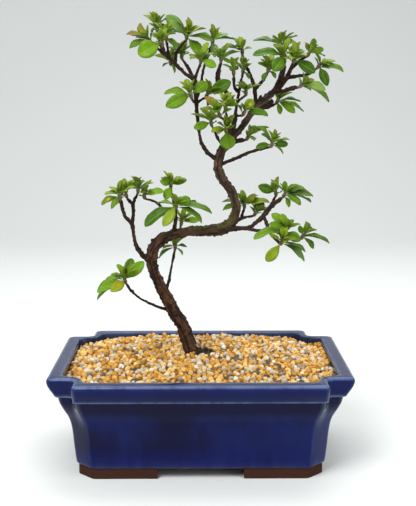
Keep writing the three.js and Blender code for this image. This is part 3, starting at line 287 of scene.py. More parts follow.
# Trunk and branches, from root to tip: points [right, back, up, radius] in millimetres. Right
# and up are as the viewer sees them on the upright plane through the pot's middle.
WOOD = {
    "trunk": [[-7, 11, 73.5, 5.1], [-12, 10, 90, 4.5], [-18, 8, 100, 4.3], [-28, 5, 120, 4],
        [-33, 2, 131, 3.7], [-34.5, 0, 141, 3.8], [-33, -2, 147.5, 4], [-28, -3, 153, 4],
        [-19, -3, 157.5, 3.4], [-8, -1, 159.5, 3.2], [3, 1, 160, 3.6], [12, 4, 160.5, 4.2],
        [19.5, 5, 163.5, 4], [23.5, 6, 169.5, 3.2], [25, 5, 178, 3], [21.5, 4, 187.5, 3],
        [15, 4, 197, 3], [12, 4, 206.5, 3.1], [15, 5, 216.5, 3], [21, 6, 224, 2.6],
        [28, 7, 231.5, 2.2], [33.5, 8, 239, 2.1], [38, 9, 245.5, 2.1], [43.5, 10, 250.5, 2.1],
        [50, 11, 256, 2], [55.5, 12, 260.5, 1.7], [60, 12, 267, 1.4], [63.5, 12, 275, 1.1]],
    "left_riser": [[12, 4, 210, 1.9], [5.5, 1, 214.5, 1.4], [1, -2, 221, 1.2], [-1, -4, 230, 1],
        [-2, -6, 240, 1.3], [-3, -7, 250, 1.5], [-4, -6, 264, 1.5], [-10, -7, 268.5, 1.3],
        [-17, -8, 275, 1.4], [-22, -10, 280, 1.3], [-27, -12, 283.5, 1]],
    "left_fork": [[-4, -6, 264, 1.3], [-8, -1, 272, 1.1], [-12, 3, 278, 0.9]],
    "left_fork_right": [[-4, -6, 264, 1.1], [-1.5, -9, 271, 0.9], [0, -11, 275, 0.8]],
    "left_tip": [[-25, -11, 282.5, 1.1], [-29, -14, 285.5, 0.9], [-33, -17, 289, 0.8]],
    "left_spur": [[-22, -10, 280, 1], [-24.5, -17, 284, 0.8], [-25.5, -22, 287, 0.8]],
    "left_tall": [[-25, -11, 282.5, 1], [-27.5, -8, 289, 0.8], [-29, -5, 296, 0.8]],
    "left_mid": [[-21, -10, 279, 1.1], [-22, -13, 285, 0.9], [-23, -14, 290, 0.9]],
    "left_back": [[-17, -8, 275, 1.1], [-16, -4, 283, 0.9], [-10, 1, 291, 0.9]],
    "left_under": [[-19, -9, 277, 1], [-20, 1, 277, 0.8], [-20, 9, 275, 0.7]],
    "centre_riser": [[-3, -7, 251, 1.4], [0.5, -2, 261, 1.1], [2, 4, 271, 1], [8, 12, 288, 0.9]],
    "knob_stem": [[22, 6, 225, 1.8], [23.5, 4, 235, 1.7], [25, 5, 247, 1.1], [27, 9, 258, 1],
        [29, 13, 268, 0.8]],
    "crown_mid": [[25, 5, 247, 1.2], [18, 0, 256, 1.4], [12, -4, 264.5, 1.6], [14, -8, 276, 1.1]],
    "crown_mid_left": [[26.5, 8, 256, 1], [23.5, 4, 260, 1.1], [23, 0, 267, 0.8]],
    "front_stem": [[18, 5, 221, 1.5], [20, -4, 231, 1.3], [17.5, -12, 243, 0.8]],
    "front_low": [[20, -3, 230, 0.9], [19, -10, 229.5, 0.8], [18, -15, 229, 0.8]],
    "front_long": [[19.5, -6, 233, 0.9], [17, -14, 237, 0.8], [14, -20, 239, 0.8]],
    "left_twig": [[16, 5, 218, 0.9], [12.5, -2, 224, 0.8], [9.5, -8, 230, 0.8], [8, -12, 233, 0.7]],
    "riser_left": [[-3, -7, 249, 1.2], [-5, -13, 250.5, 0.9], [-6, -17, 252, 0.8]],
    "riser_knob": [[-3, -7, 248, 1.2], [0, -5, 250.5, 0.9], [3, -3, 252, 0.8]],
    "yellow_twig": [[24.5, 4, 240, 0.9], [27, -2, 240, 0.8], [29, -7, 240.5, 0.7]],
    "small_twig": [[25.5, 6, 249, 0.8], [28.5, 4, 252, 0.7], [30.5, 3, 253.5, 0.7]],
    "knob_right": [[21, 6, 221.5, 1.4], [27, 8, 223, 1.6], [31, 11, 223.5, 0.8]],
    "right_low": [[13, 4, 206, 1.3], [24, 0, 210.5, 1.1], [33, -4, 214.5, 1.3],
        [40, -8, 216.5, 0.9],
        [48, -12, 218.5, 0.8]],
    "leader_up": [[38.5, 9, 247, 1.7], [37.5, 11, 258, 1.4], [34, 14, 269, 1.2], [30, 18, 276, 1.1],
        [29, 20, 281, 1]],
    "leader_up_right": [[37.5, 11, 258, 1.3], [42.5, 6, 263.5, 1.2], [46, 0, 269, 1]],
    "stub": [[42, 10, 249, 1.4], [41.5, 7, 253.5, 1.3]],
    "right_inner": [[49, 11, 255, 1.4], [54, 15, 264, 1.2], [56, 19, 273, 1.1], [55, 23, 285, 0.9]],
    "right_front": [[55.5, 12, 260.5, 1.1], [57.5, 4, 270, 1], [58, -4, 278, 0.9]],
    "right_knob": [[51, 11, 256.5, 1.5], [57, 6, 257, 1.2], [64, 0, 259, 1.5],
        [67.5, -5, 259.5, 0.9]],
    "right_out": [[60, 12, 266, 1.3], [67, 12, 267, 1.1], [74.5, 11, 268.5, 1],
        [79.5, 10, 272, 0.9]],
    "right_high": [[62.5, 12, 272, 1.1], [68, 14, 277.5, 1], [72.5, 15, 280, 0.9]],
    "right_broad": [[60.5, 12, 268, 1.1], [62, 4, 272, 0.9], [63.5, -4, 276, 0.9]],
    "dark_stub": [[38, 9, 245, 1.9], [44.5, 14, 246.5, 1.8], [49.5, 18, 250.5, 1.5]],
    "right_under": [[43, 12, 245.5, 1.1], [47, 15, 245.5, 0.9], [51.5, 18, 248, 0.8]],
    "low_left": [[-36, 1, 138, 1.9], [-44, -1, 147, 1.5], [-47, -4, 157, 1.4],
        [-48, -6, 164.5, 1.4],
        [-53, -9, 170.5, 1.2], [-56, -13, 181.5, 1.2]],
    "low_left_fork": [[-48, -6, 164, 1.2], [-47, -3, 171, 1.1], [-47, 1, 179, 1.1],
        [-44, 5, 186, 0.9]],
    "low_left_fork_left": [[-47, 1, 178.5, 1.1], [-49.5, -1, 181, 0.9], [-51, -3, 183, 0.8]],
    "low_mid": [[-18.5, -3, 158, 1.6], [-17.5, -9, 167, 1.3], [-17, -15, 175, 1]],
    "low_mid_back": [[-17.5, -9, 168, 0.9], [-18.5, -1, 177, 0.8], [-20.5, 8, 189, 0.8]],
    "low_mid_left": [[-17.5, -9, 168, 0.9], [-25, -5, 174, 0.8], [-31, -2, 180, 0.9],
        [-38, 1, 182.5, 0.7]],
    "low_twig": [[-23, 8, 103, 1.1], [-33, 2, 106.5, 0.9], [-43, -5, 111.5, 0.8],
        [-49.5, -11, 117.5, 0.9], [-52.5, -14, 122, 1]],
    "sprig": [[-25, 6, 116, 1.4], [-22.5, 8, 124, 1], [-19, 11, 143, 0.8], [-16, 15, 156, 0.7],
        [-14, 17, 163, 0.7]],
    "sprig_side": [[-20, 10.5, 138, 0.8], [-18.5, 9, 142, 0.7], [-18, 7, 146, 0.7]],
    "right_spur": [[13, 4, 159.5, 2], [29, 0, 161.5, 1.4], [40, -4, 160, 1.1], [50, -8, 160, 1],
        [59, -12, 158, 1]],
    "right_spur_end": [[50, -8, 160, 1], [61, -7, 156.5, 0.9], [70, -5, 154.5, 0.8]],
    "right_arm": [[21, 5, 162.5, 1.5], [33, 3, 162, 1.3], [40, 3, 166.5, 1.5], [45, 3, 171.5, 1.8],
        [50, 2, 177.5, 1.6], [57, 1, 183, 1.2]],
    "right_arm_left": [[49, 2, 176.5, 1.1], [50.5, 7, 180, 0.9], [52.5, 11, 184, 0.8]],
    "right_drop": [[44, 3, 170.5, 1.3], [47, -6, 164, 1.2], [50, -16, 157, 1], [56, -22, 151, 1.1]],
    "back_twig": [[20, 7, 163.5, 1.6], [28.5, 14, 168.5, 1.2], [37, 21, 170.5, 0.8]],
    "back_twig_up": [[28.5, 14, 168.5, 0.9], [30.5, 18, 175, 0.8]],
    "trunk_stub": [[-32, -3, 150.5, 1.4], [-34.5, -4, 154, 0.9]],
}

# Leafy shoots: the stem whose end each grows on, the way it points, the leaves that show, each
# by its tip [right, back, up] in the same way with the breadth that the viewer sees, how many
# more a rule adds round it, and their length.
SHOOTS = {
    "upper_left_1": {"on": "left_tip", "axis": [-0.5, -0.3, 0.8], "more": 2, "size": 12,
    "leaves": [[-50.5, -19, 295.5, 4], [-48.5, -20, 286, 5], [-41.5, -14, 302.5, 4.5]]},
    "upper_left_2": {"on": "left_spur", "axis": [-0.2, -0.5, 0.8], "more": 2, "size": 11,
    "leaves": [[-42.5, -26, 281.5, 12]]},
    "upper_left_3": {"on": "left_tall", "axis": [0, -0.2, 0.95], "more": 3, "size": 10,
    "leaves": [[-38.5, -3, 308.5, 3], [-32, -6, 310, 4.5], [-27, -4, 307, 1.5], [-23, -2, 306, 1.5],
        [-24, -9, 301.5, 3]]},
    "upper_left_4": {"on": "left_mid", "axis": [0, -0.3, 0.95], "more": 3, "size": 10,
    "leaves": [[-23.5, -15, 302, 3.5], [-20.5, -13, 300.5, 3], [-16, -20, 286.5, 4]]},
    "upper_left_5": {"on": "left_back", "axis": [0.1, -0.3, 0.95], "more": 4, "size": 13,
    "leaves": [[-23, -2, 307.5, 9], [-9.5, 2, 305, 3], [-6.5, 3, 306, 3], [4, 4, 299.5, 2],
        [8.5, -3, 290.5, 5], [1, -8, 278, 7]]},
    "upper_left_6": {"on": "left_fork", "axis": [-0.1, -0.2, 0.95], "more": 3, "size": 8,
    "leaves": [[-15, 1, 285, 3.5], [-10.5, 4, 284, 2.5]]},
    "upper_left_7": {"on": "left_under", "axis": [-0.2, 0.4, 0.6], "more": 1, "size": 8,
    "leaves": [[-26, 11, 273.5, 1.5], [-17.5, 12, 269, 2]]},
    "upper_left_8": {"on": "left_fork_right", "axis": [0.1, -0.5, 0.85], "more": 2, "size": 10,
    "leaves": [[11, -16, 273.5, 6]]},
    "upper_mid_1": {"on": "centre_riser", "axis": [0.1, -0.2, 0.95], "more": 3, "size": 11,
    "leaves": [[7.5, 11, 299.5, 3], [13.5, 12, 295, 3], [19, 13, 296, 3], [23.5, 15, 292, 1.5],
        [10, 4, 280, 5]]},
    "upper_mid_2": {"on": "crown_mid", "axis": [0, -0.3, 0.95], "more": 4, "size": 10,
    "leaves": [[15.5, -10, 285, 4], [20.5, -11, 276, 3], [11, -12, 282, 3]]},
    "upper_mid_3": {"on": "crown_mid_left", "axis": [0, -0.2, 0.95], "more": 3, "size": 8,
    "leaves": [[26, -1, 273.5, 3], [20, -2, 272.5, 3]]},
    "upper_mid_4": {"on": "knob_stem", "axis": [0.1, 0, 0.95], "more": 4, "size": 8,
    "leaves": [[33.5, 12, 265, 2.5]]},
    "upper_mid_5": {"on": "leader_up", "axis": [0, -0.2, 0.97], "more": 3, "size": 10,
    "leaves": [[27.5, 19, 290.5, 3], [30.5, 21, 291, 2.5], [23.5, 18, 287.5, 3], [35.5, 21, 286, 2],
        [14.5, 20, 286.5, 2.5], [14, 17, 278.5, 3.5]]},
    "upper_mid_6": {"on": "leader_up_right", "axis": [0.1, -0.3, 0.95], "more": 3, "size": 9,
    "leaves": [[39.5, -3, 276, 3], [47.5, 0, 279, 3], [52, -3, 265.5, 3], [43, -4, 263.5, 3]]},
    "upper_right_1": {"on": "right_inner", "axis": [0.1, -0.1, 0.97], "more": 3, "size": 11,
    "leaves": [[55.5, 22, 297, 5], [58.5, 24, 297.5, 3], [36, 22, 291, 3.5], [49.5, 25, 294, 1.5],
        [66.5, 26, 294.5, 1.5], [63, 22, 291, 4]]},
    "upper_right_2": {"on": "right_front", "axis": [-0.1, -0.5, 0.85], "more": 2, "size": 11,
    "leaves": [[36, -8, 281.5, 6.5], [50, -12, 270.5, 9]]},
    "upper_right_3": {"on": "trunk", "axis": [0.1, -0.1, 0.95], "more": 3, "size": 11,
    "leaves": [[68.5, 12, 290.5, 3], [64, 10, 288, 3], [59, 9, 287, 3], [70.5, 9, 285.5, 3]]},
    "upper_right_4": {"on": "right_high", "axis": [0.4, -0.1, 0.85], "more": 3, "size": 10,
    "leaves": [[72.5, 14, 289.5, 3.5], [76.5, 16, 289.5, 1.5], [84.5, 15, 285.5, 5],
        [86, 18, 281, 2.5]]},
    "upper_right_5": {"on": "right_broad", "axis": [0.2, -0.5, 0.8], "more": 2, "size": 11,
    "leaves": [[79, -8, 269.5, 8]]},
    "upper_right_6": {"on": "right_out", "axis": [0.5, -0.2, 0.7], "more": 2, "size": 9,
    "leaves": [[98.5, 10, 270, 5], [89.5, 8, 275, 3.5], [87.5, 4, 260.5, 6.5]]},
    "upper_right_7": {"on": "right_knob", "axis": [0.6, -0.2, 0.6], "more": 2, "size": 9,
    "leaves": [[86.5, -7, 258, 6.5], [89.5, -1, 249.5, 1.5], [79, -2, 263, 4]]},
    "upper_right_8": {"on": "right_under", "axis": [0.4, -0.2, 0.7], "more": 2, "size": 10,
    "leaves": [[65.5, 14, 242, 6], [72, 20, 243, 2], [69.5, 22, 250, 1.5], [55.5, 12, 241, 4]]},
    "mid_1": {"on": "yellow_twig", "axis": [0.4, -0.3, 0.8], "more": 1, "size": 9,
    "leaves": [[36, -9, 251.5, 7], [47, -11, 240.5, 5.5]]},
    "mid_2": {"on": "small_twig", "axis": [0, -0.1, 0.97], "more": 3, "size": 6,
    "leaves": [[32.5, 3, 261, 3]]},
    "mid_3": {"on": "front_stem", "axis": [0.1, -0.2, 0.95], "more": 2, "size": 9,
    "leaves": [[13.5, -11, 256, 3], [20.5, -13, 256, 2.5], [24.5, -12, 254.5, 2],
        [26, -15, 248.5, 3.5]]},
    "mid_4": {"on": "front_long", "axis": [-0.2, -0.5, 0.8], "more": 1, "size": 9,
    "leaves": [[3, -21, 253.5, 5], [9.5, -25, 247.5, 5]]},
    "mid_5": {"on": "riser_knob", "axis": [0.3, -0.3, 0.85], "more": 1, "size": 9,
    "leaves": [[21, -5, 263.5, 9], [5, -9, 247, 2.5]]},
    "mid_6": {"on": "riser_left", "axis": [-0.1, -0.3, 0.95], "more": 2, "size": 11,
    "leaves": [[-25, -17, 255.5, 5.5], [-23.5, -21, 246.5, 9], [-6.5, -17, 262.5, 3.5],
        [5, -15, 262.5, 8]]},
    "mid_7": {"on": "left_twig", "axis": [-0.1, -0.3, 0.95], "more": 2, "size": 8,
    "leaves": [[-4.5, -16, 231.5, 6], [-6.5, -10, 241.5, 1.5], [4.5, -11, 241.5, 3.5],
        [11, -12, 241, 3]]},
    "mid_8": {"on": "front_low", "axis": [0, -0.6, 0.8], "more": 2, "size": 7,
    "leaves": [[19.5, -18, 217, 11]]},
    "mid_9": {"on": "knob_right", "axis": [0.5, -0.2, 0.8], "more": 1, "size": 7,
    "leaves": [[47.5, 10, 232.5, 3.5], [38, 12, 223, 2]]},
    "mid_10": {"on": "right_low", "axis": [0.3, -0.2, 0.9], "more": 1, "size": 8,
    "leaves": [[61, -12, 220.5, 5], [58, -10, 214, 2], [38.5, -15, 218, 4.5], [42.5, -10, 228, 3],
        [36, -9, 230.5, 2.5], [50.5, -13, 225, 3.5]]},
    "lower_left_1": {"on": "low_left", "axis": [-0.1, -0.2, 0.95], "more": 2, "size": 9,
    "leaves": [[-55.5, -13, 195.5, 4.5], [-69.5, -15, 178.5, 4.5], [-64.5, -11, 188, 1.5]]},
    "lower_left_2": {"on": "low_left_fork_left", "axis": [-0.2, -0.3, 0.9], "more": 2, "size": 8,
    "leaves": [[-62.5, -8, 175.5, 4.5]]},
    "lower_left_3": {"on": "low_left_fork", "axis": [0, -0.1, 0.97], "more": 3, "size": 8,
    "leaves": [[-42, 5, 196, 3.5], [-50.5, 5, 194.5, 2], [-32.5, 7, 194, 1.5],
        [-53, 2, 190.5, 3]]},
    "lower_left_4": {"on": "low_mid_back", "axis": [0, -0.2, 0.95], "more": 2, "size": 8,
    "leaves": [[-25.5, 7, 198, 4.5], [-19.5, 9, 199, 3], [-28, 5, 195.5, 4], [-9.5, 8, 196, 5],
        [-24.5, 1, 182, 6.5]]},
    "lower_left_5": {"on": "low_mid", "axis": [0, -0.4, 0.9], "more": 2, "size": 10,
    "leaves": [[-39.5, -18, 163.5, 8], [-26, -23, 163.5, 7], [8.5, -15, 173, 4], [1.5, -17, 166, 4],
        [-7, -13, 183, 7], [-18, -14, 186, 3.5], [-3, -10, 180, 1.5], [-30.5, -11, 179.5, 1.5]]},
    "lower_left_6": {"on": "sprig", "axis": [0.2, 0, 0.95], "more": 2, "size": 7,
    "leaves": [[-1, 15, 167, 4.5]]},
    "lower_left_7": {"on": "low_twig", "axis": [-0.2, -0.3, 0.9], "more": 0, "size": 9,
    "leaves": [[-40, -16, 138, 8], [-48.5, -12, 140, 7], [-59, -13, 136, 4], [-67.5, -11, 125.5, 3],
        [-72.5, -16, 117.5, 6.5], [-74, -13, 110.5, 3.5], [-65, -21, 118, 6]]},
    "lower_left_8": {"on": "low_mid_left", "axis": [-0.1, -0.3, 0.9], "more": 2, "size": 7,
    "leaves": [[-25.5, 1, 188, 5]]},
    "low_sprig": {"on": "sprig_side", "axis": [0.1, 0, 0.98], "more": 1, "size": 6,
    "leaves": [[-27, 8, 147.5, 1.5], [-30, 9, 140.5, 2], [-9.5, 6, 148.5, 2],
        [-12.5, 6, 142.5, 1.5]]},
    "lower_right_1": {"on": "back_twig_up", "axis": [0, -0.2, 0.95], "more": 2, "size": 9,
    "leaves": [[30, 18, 186, 2.5], [25, 19, 186.5, 3.5], [15, 20, 181, 1.5], [15.5, 16, 174.5, 3.5],
        [38.5, 15, 186, 5], [48.5, 17, 180.5, 4.5]]},
    "lower_right_2": {"on": "back_twig", "axis": [0.3, -0.2, 0.9], "more": 2, "size": 8,
    "leaves": [[44.5, 18, 180, 5], [50, 22, 175, 3]]},
    "lower_right_3": {"on": "right_arm_left", "axis": [-0.1, -0.2, 0.95], "more": 2, "size": 9,
    "leaves": [[40.5, 8, 191.5, 7], [51, 11, 195, 5.5]]},
    "lower_right_4": {"on": "right_arm", "axis": [0.4, -0.2, 0.9], "more": 1, "size": 10,
    "leaves": [[59, 1, 195, 4], [56.5, 3, 193, 1.5], [68.5, 0, 192.5, 3.5], [73, 3, 190, 3.5],
        [80, -1, 184, 5], [71, -4, 178, 5], [78.5, 2, 178, 2], [62.5, -5, 176, 3.5]]},
    "lower_right_5": {"on": "right_spur", "axis": [0.1, -0.3, 0.95], "more": 1, "size": 9,
    "leaves": [[57, -12, 172, 6], [50.5, -11, 172, 6], [48, -14, 165.5, 5], [65.5, -10, 168, 3.5],
        [37, -13, 155.5, 5], [49, -20, 151.5, 8], [70.5, -20, 152.5, 7]]},
    "lower_right_6": {"on": "right_spur_end", "axis": [0.4, -0.1, 0.8], "more": 1, "size": 8,
    "leaves": [[69.5, -6, 163.5, 4], [78.5, -4, 162.5, 3], [82, -2, 160.5, 2], [91.5, -4, 151.5, 3],
        [80, -7, 147, 4]]},
    "lower_right_7": {"on": "right_drop", "axis": [0.1, -0.5, 0.7], "more": 1, "size": 9,
    "leaves": [[46.5, -24, 138, 7.5], [74, -22, 138, 5], [73.5, -19, 146, 2]]},
}

# Materials: how often each pattern repeats in a metre, and how deep the relief is in millimetres.
REPEATS = {
    "glaze_clouds": 16.0, "glaze_runs": 160.0, "glaze_gloss": 60.0, "glaze_ripple": 95.0,
    "clay_edge": 420.0, "clay_grit": 900.0, "grain_mottle": 700.0, "grain_pits": 1500.0,
    "bed_crumbs": 650.0, "bed_dust": 1300.0, "netting_ribs": 6000.0, "netting_scuff": 260.0,
    "bark_fibres": 900.0, "bark_cracks": 420.0, "bark_flakes": 330.0, "bark_patches": 95.0,
    "bark_orange": 150.0, "bark_twig": 700.0, "moss_tufts": 520.0, "moss_tips": 1500.0,
    "leaf_mottle": 260.0, "stem_scales": 900.0, "stem_streaks": 700.0,
}
RELIEF = {"glaze": 0.3, "grain": 0.25, "bed": 0.6, "netting": 0.1, "bark": 0.6, "leaf": 0.18,
          "stem": 0.3}

# Leaves that differ from the rest: how yellow, brown and grey each is, and where a spot shows
# along it.
YOUNG = (0.55, 0.1, 0.0, 0.0)
YOUNG_FILLER = (0.12, 0.0, 0.0, 0.0)
BUD_KIND = (0.34, 0.10, 0.0, 0.0)
SPECIAL = {
    "upper_left_1": {0: (0.15, 0.75, 0.1, 0.0), 2: (0.3, 0.7, 0.0, 0.0)},
    "upper_left_3": {1: (0.65, 0.15, 0.0, 0.0), 0: YOUNG},
    "upper_left_4": {0: (0.7, 0.15, 0.0, 0.0), 1: (0.65, 0.1, 0.0, 0.0)},
    "upper_left_5": {0: (0.0, 0.0, 0.6, 0.0), 1: YOUNG, 2: YOUNG, 3: (0.95, 0.05, 0.0, 0.0)},
    "upper_mid_1": {0: (0.5, 0.6, 0.0, 0.0), 4: (0.0, 0.0, 0.7, 0.0)},
    "upper_mid_5": {0: YOUNG, 1: YOUNG},
    "upper_right_1": {0: (0.7, 0.1, 0.0, 0.0), 1: (0.5, 0.55, 0.0, 0.0)},
    "upper_right_4": {0: (0.2, 1.0, 0.0, 0.0)},
    "upper_right_7": {0: (0.4, 0.0, 0.5, 0.0)},
    "mid_1": {0: (0.25, 0.0, 0.0, 0.6)},
    "mid_2": {0: YOUNG},
    "mid_3": {0: YOUNG, 1: (0.7, 0.0, 0.1, 0.0), 2: YOUNG},
    "mid_4": {0: (0.35, 0.85, 0.0, 0.0)},
    "mid_7": {2: YOUNG, 3: YOUNG},
    "mid_9": {1: YOUNG},
    "lower_left_1": {1: (0.2, 0.1, 0.0, 0.55)},
    "lower_left_5": {1: (0.6, 0.0, 0.1, 0.0)},
    "lower_left_7": {6: (1.0, 0.15, 0.0, 0.5)},
    "lower_right_1": {4: (0.35, 0.35, 0.0, 0.0), 5: (0.25, 0.3, 0.0, 0.0)},
    "lower_right_7": {0: (0.6, 0.0, 0.0, 0.0), 1: (0.0, 0.0, 0.35, 0.0)},
}


# Node trees

class Nodes:
    """Adds nodes to a tree, each with the values or links that its sockets take."""

    def __init__(self, tree):
        self.tree = tree

    def add(self, kind, inputs=None, **settings):
        node = self.tree.nodes.new(kind)
        for name, value in settings.items():
            setattr(node, name, value)
        for key, value in (inputs or {}).items():
            self.feed(node.inputs[key], value)
        return node

    def feed(self, socket, value):
        if isinstance(value, bpy.types.NodeSocket):
            self.tree.links.new(value, socket)
        else:
            socket.default_value = value

    def calc(self, operation, *values):
        node = self.add("ShaderNodeMath", dict(enumerate(values)), operation=operation)
        return node.outputs[0]

    def plus(self, first, second):
        return self.calc("ADD", first, second)

    def minus(self, first, second):
        return self.calc("SUBTRACT", first, second)

    def times(self, first, *factors):
        for factor in factors:
            first = self.calc("MULTIPLY", first, factor)
        return first

    def spread(self, value, factor, start):
        return self.calc("MULTIPLY_ADD", value, factor, start)

    def vector(self, operation, *values):
        node = self.add("ShaderNodeVectorMath", operation=operation)
        for socket, value in zip(node.inputs, values):
            self.feed(socket, value)
        return node.outputs["Vector"]

    def scaled(self, vector, factor):
        inputs = {"Vector": vector, "Scale": factor}
        return self.add("ShaderNodeVectorMath", inputs, operation="SCALE").outputs["Vector"]

    def parts(self, vector):
        return self.add("ShaderNodeSeparateXYZ", {0: vector}).outputs

    def joined(self, x, y, z):
        return self.add("ShaderNodeCombineXYZ", {0: x, 1: y, 2: z}).outputs[0]

    def ramp(self, value, low, high, first=0.0, last=1.0):
        node = self.add("ShaderNodeMapRange", {0: value, 1: low, 2: high, 3: first, 4: last},
                        interpolation_type="SMOOTHSTEP")
        return node.outputs[0]

    def noise(self, place, scale, detail=3.0, roughness=0.55, distortion=0.0):
        node = self.add("ShaderNodeTexNoise", {
            "Vector": place, "Scale": scale, "Detail": detail, "Roughness": roughness,
            "Distortion": distortion})
        return node.outputs[0]

    def cells(self, place, scale):
        return self.add("ShaderNodeTexVoronoi", {"Vector": place, "Scale": scale}).outputs[0]

    def mix(self, share, first, second):
        node = self.add("ShaderNodeMix", data_type="RGBA")
        self.feed(node.inputs[0], share)
        for socket, colour in ((node.inputs[6], first), (node.inputs[7], second)):
            plain = not isinstance(colour, bpy.types.NodeSocket)
            self.feed(socket, (*colour, 1.0) if plain else colour)
        return node.outputs[2]


def new_material(name):
    material = bpy.data.materials.new(name)
    material.use_nodes = True
    nodes = Nodes(material.node_tree)
    shader = material.node_tree.nodes["Principled BSDF"]
    return material, nodes, shader


def object_place(nodes):
    return nodes.add("ShaderNodeTexCoord").outputs["Object"]


def attribute(nodes, name):
    return nodes.add("ShaderNodeAttribute", attribute_name=name)


def finish_material(nodes, shader, colour, roughness, relief, specular=0.5):
    """Gives the shader its colour, its roughness and its relief: height, depth and strength, and
    how strongly it mirrors."""
    height, depth, strength = relief
    bump = nodes.add("ShaderNodeBump", {
        "Height": height, "Distance": depth * MM, "Strength": strength})
    nodes.feed(shader.inputs["Base Color"], colour)
    nodes.feed(shader.inputs["Roughness"], roughness)
    nodes.feed(shader.inputs["Normal"], bump.outputs[0])
    shader.inputs["Specular IOR Level"].default_value = specular


def new_tree(name, inputs):
    """A geometry tree with named inputs. Gives its nodes, input sockets, output node and
    the identifiers of its inputs."""
    tree = bpy.data.node_groups.new(name, "GeometryNodeTree")
    tree.interface.new_socket("Geometry", in_out="INPUT", socket_type="NodeSocketGeometry")
    known = {}
    for label, kind in inputs.items():
        socket = tree.interface.new_socket(label, in_out="INPUT", socket_type=kind)
        known[label] = socket.identifier
    tree.interface.new_socket("Geometry", in_out="OUTPUT", socket_type="NodeSocketGeometry")
    nodes = Nodes(tree)
    start = nodes.add("NodeGroupInput").outputs
    end = nodes.add("NodeGroupOutput").inputs[0]
    return tree, nodes, start, end, known


def named(nodes, name, kind="FLOAT"):
    return nodes.add("GeometryNodeInputNamedAttribute", {"Name": name}, data_type=kind).outputs[0]


def coated(nodes, geometry, material, where=True):
    return nodes.add("GeometryNodeSetMaterial", {
        "Geometry": geometry, "Selection": where, "Material": material}).outputs[0]


def given_radii(nodes, lines):
    return nodes.add("GeometryNodeSetCurveRadius", {
        "Curve": lines, "Radius": named(nodes, "thickness")}).outputs[0]


def tubes_along(nodes, lines, sides):
    """Round tubes with closed ends along lines that carry their radii."""
    ring = nodes.add("GeometryNodeCurvePrimitiveCircle", {"Resolution": sides, "Radius": 1.0})
    tubes = nodes.add("GeometryNodeCurveToMesh", {
        "Curve": lines, "Profile Curve": ring.outputs[0], "Fill Caps": True})
    if "Scale" in tubes.inputs:
        nodes.feed(tubes.inputs["Scale"], nodes.add("GeometryNodeInputRadius").outputs[0])
    return tubes.outputs[0]


def run_tree(holder, tree, known, values):
    """Gives the object what the tree makes of it, as a plain mesh."""
    modifier = holder.modifiers.new(tree.name, "NODES")
    modifier.node_group = tree
    for label, value in values.items():
        modifier[known[label]] = value
    settle_modifiers(holder)


def settle_modifiers(holder):
    view = bpy.context.evaluated_depsgraph_get()
    made = bpy.data.meshes.new_from_object(
        holder.evaluated_get(view), preserve_all_data_layers=True, depsgraph=view)
    holder.modifiers.clear()
    holder.data = made


# Meshes

def link(name, vertices, faces, edges=()):
    mesh = bpy.data.meshes.new(name)
    mesh.from_pydata(vertices, edges, faces)
    mesh.update()
    made = bpy.data.objects.new(name, mesh)
    bpy.context.scene.collection.objects.link(made)
    return made


def set_values(mesh, name, values):
    values = np.asarray(values, dtype=np.float32)
    flat = values.ndim == 1
    kept = mesh.attributes.new(name, "FLOAT" if flat else "FLOAT_VECTOR", "POINT")
    kept.data.foreach_set("value" if flat else "vector", values.ravel())


def get_places(mesh):
    places = np.empty(len(mesh.vertices) * 3, dtype=np.float32)
    mesh.vertices.foreach_get("co", places)
    return places.reshape(-1, 3).astype(float)


def dress(piece, material):
    """Gives the piece this material in place of those it has."""
    piece.data.materials.clear()
    piece.data.materials.append(material)


def finish_piece(piece, replaced, sharp_over=None):
    piece.data.shade_smooth()
    if sharp_over:
        piece.data.set_sharp_from_angle(angle=math.radians(sharp_over))
    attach(piece, "root")
    if replaced:
        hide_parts(*replaced)


# Pot

def arc(centre_x, centre_y, radius, start, stop, steps):
    angles = np.linspace(start, stop, steps + 1)
    return np.column_stack([centre_x + radius * np.cos(angles), centre_y + radius * np.sin(angles)])


def pot_outline(inset, notch, filled, corner, hollow):
    quarter = math.pi / 2
    x = POT_WIDTH / 2 - inset
    y = POT_DEPTH / 2 - inset
    right = arc(x - corner, y - notch - corner, corner, 0, quarter * (1 - filled / 2), CORNER_STEPS)
    back = arc(x - notch - corner, y - corner, corner, quarter * filled / 2, quarter, CORNER_STEPS)
    deep = arc(x - notch + hollow, y - notch + hollow, hollow, -quarter, -2 * quarter, HOLLOW_STEPS)
    shares = np.linspace(*CHAMFER_SPAN, HOLLOW_STEPS + 1)[:, None]
    chamfer = right[-1] + (back[0] - right[-1]) * shares
    inner = deep + (chamfer - deep) * filled
    one = np.vstack([right, inner, back])
    half = np.vstack([one, (one * (-1, 1))[::-1]])
    return np.vstack([half, -half])


def corner_edges():
    """How near each point of an outline is to the crest of one of its rounded corners."""
    crest = np.sin(np.linspace(0, math.pi, CORNER_STEPS + 1)) ** 2
    one = np.concatenate([crest, np.zeros(HOLLOW_STEPS + 1), crest])
    half = np.concatenate([one, one[::-1]])
    return np.concatenate([half, half])


def curved(profile, steps):
    """More rows along a profile, on a smooth curve through it."""
    rows = np.asarray(profile, dtype=float)
    made = []
    for i in range(len(rows) - 1):
        before, start, stop, after = (
            rows[max(0, min(len(rows) - 1, i + k))] for k in (-1, 0, 1, 2))
        for step in range(steps):
            t = step / steps
            made.append(0.5 * (2 * start + (stop - before) * t
                               + (2 * before - 5 * start + 4 * stop - after) * t ** 2
                               + (3 * start - before - 3 * stop + after) * t ** 3))
    made.append(rows[-1])
    return made


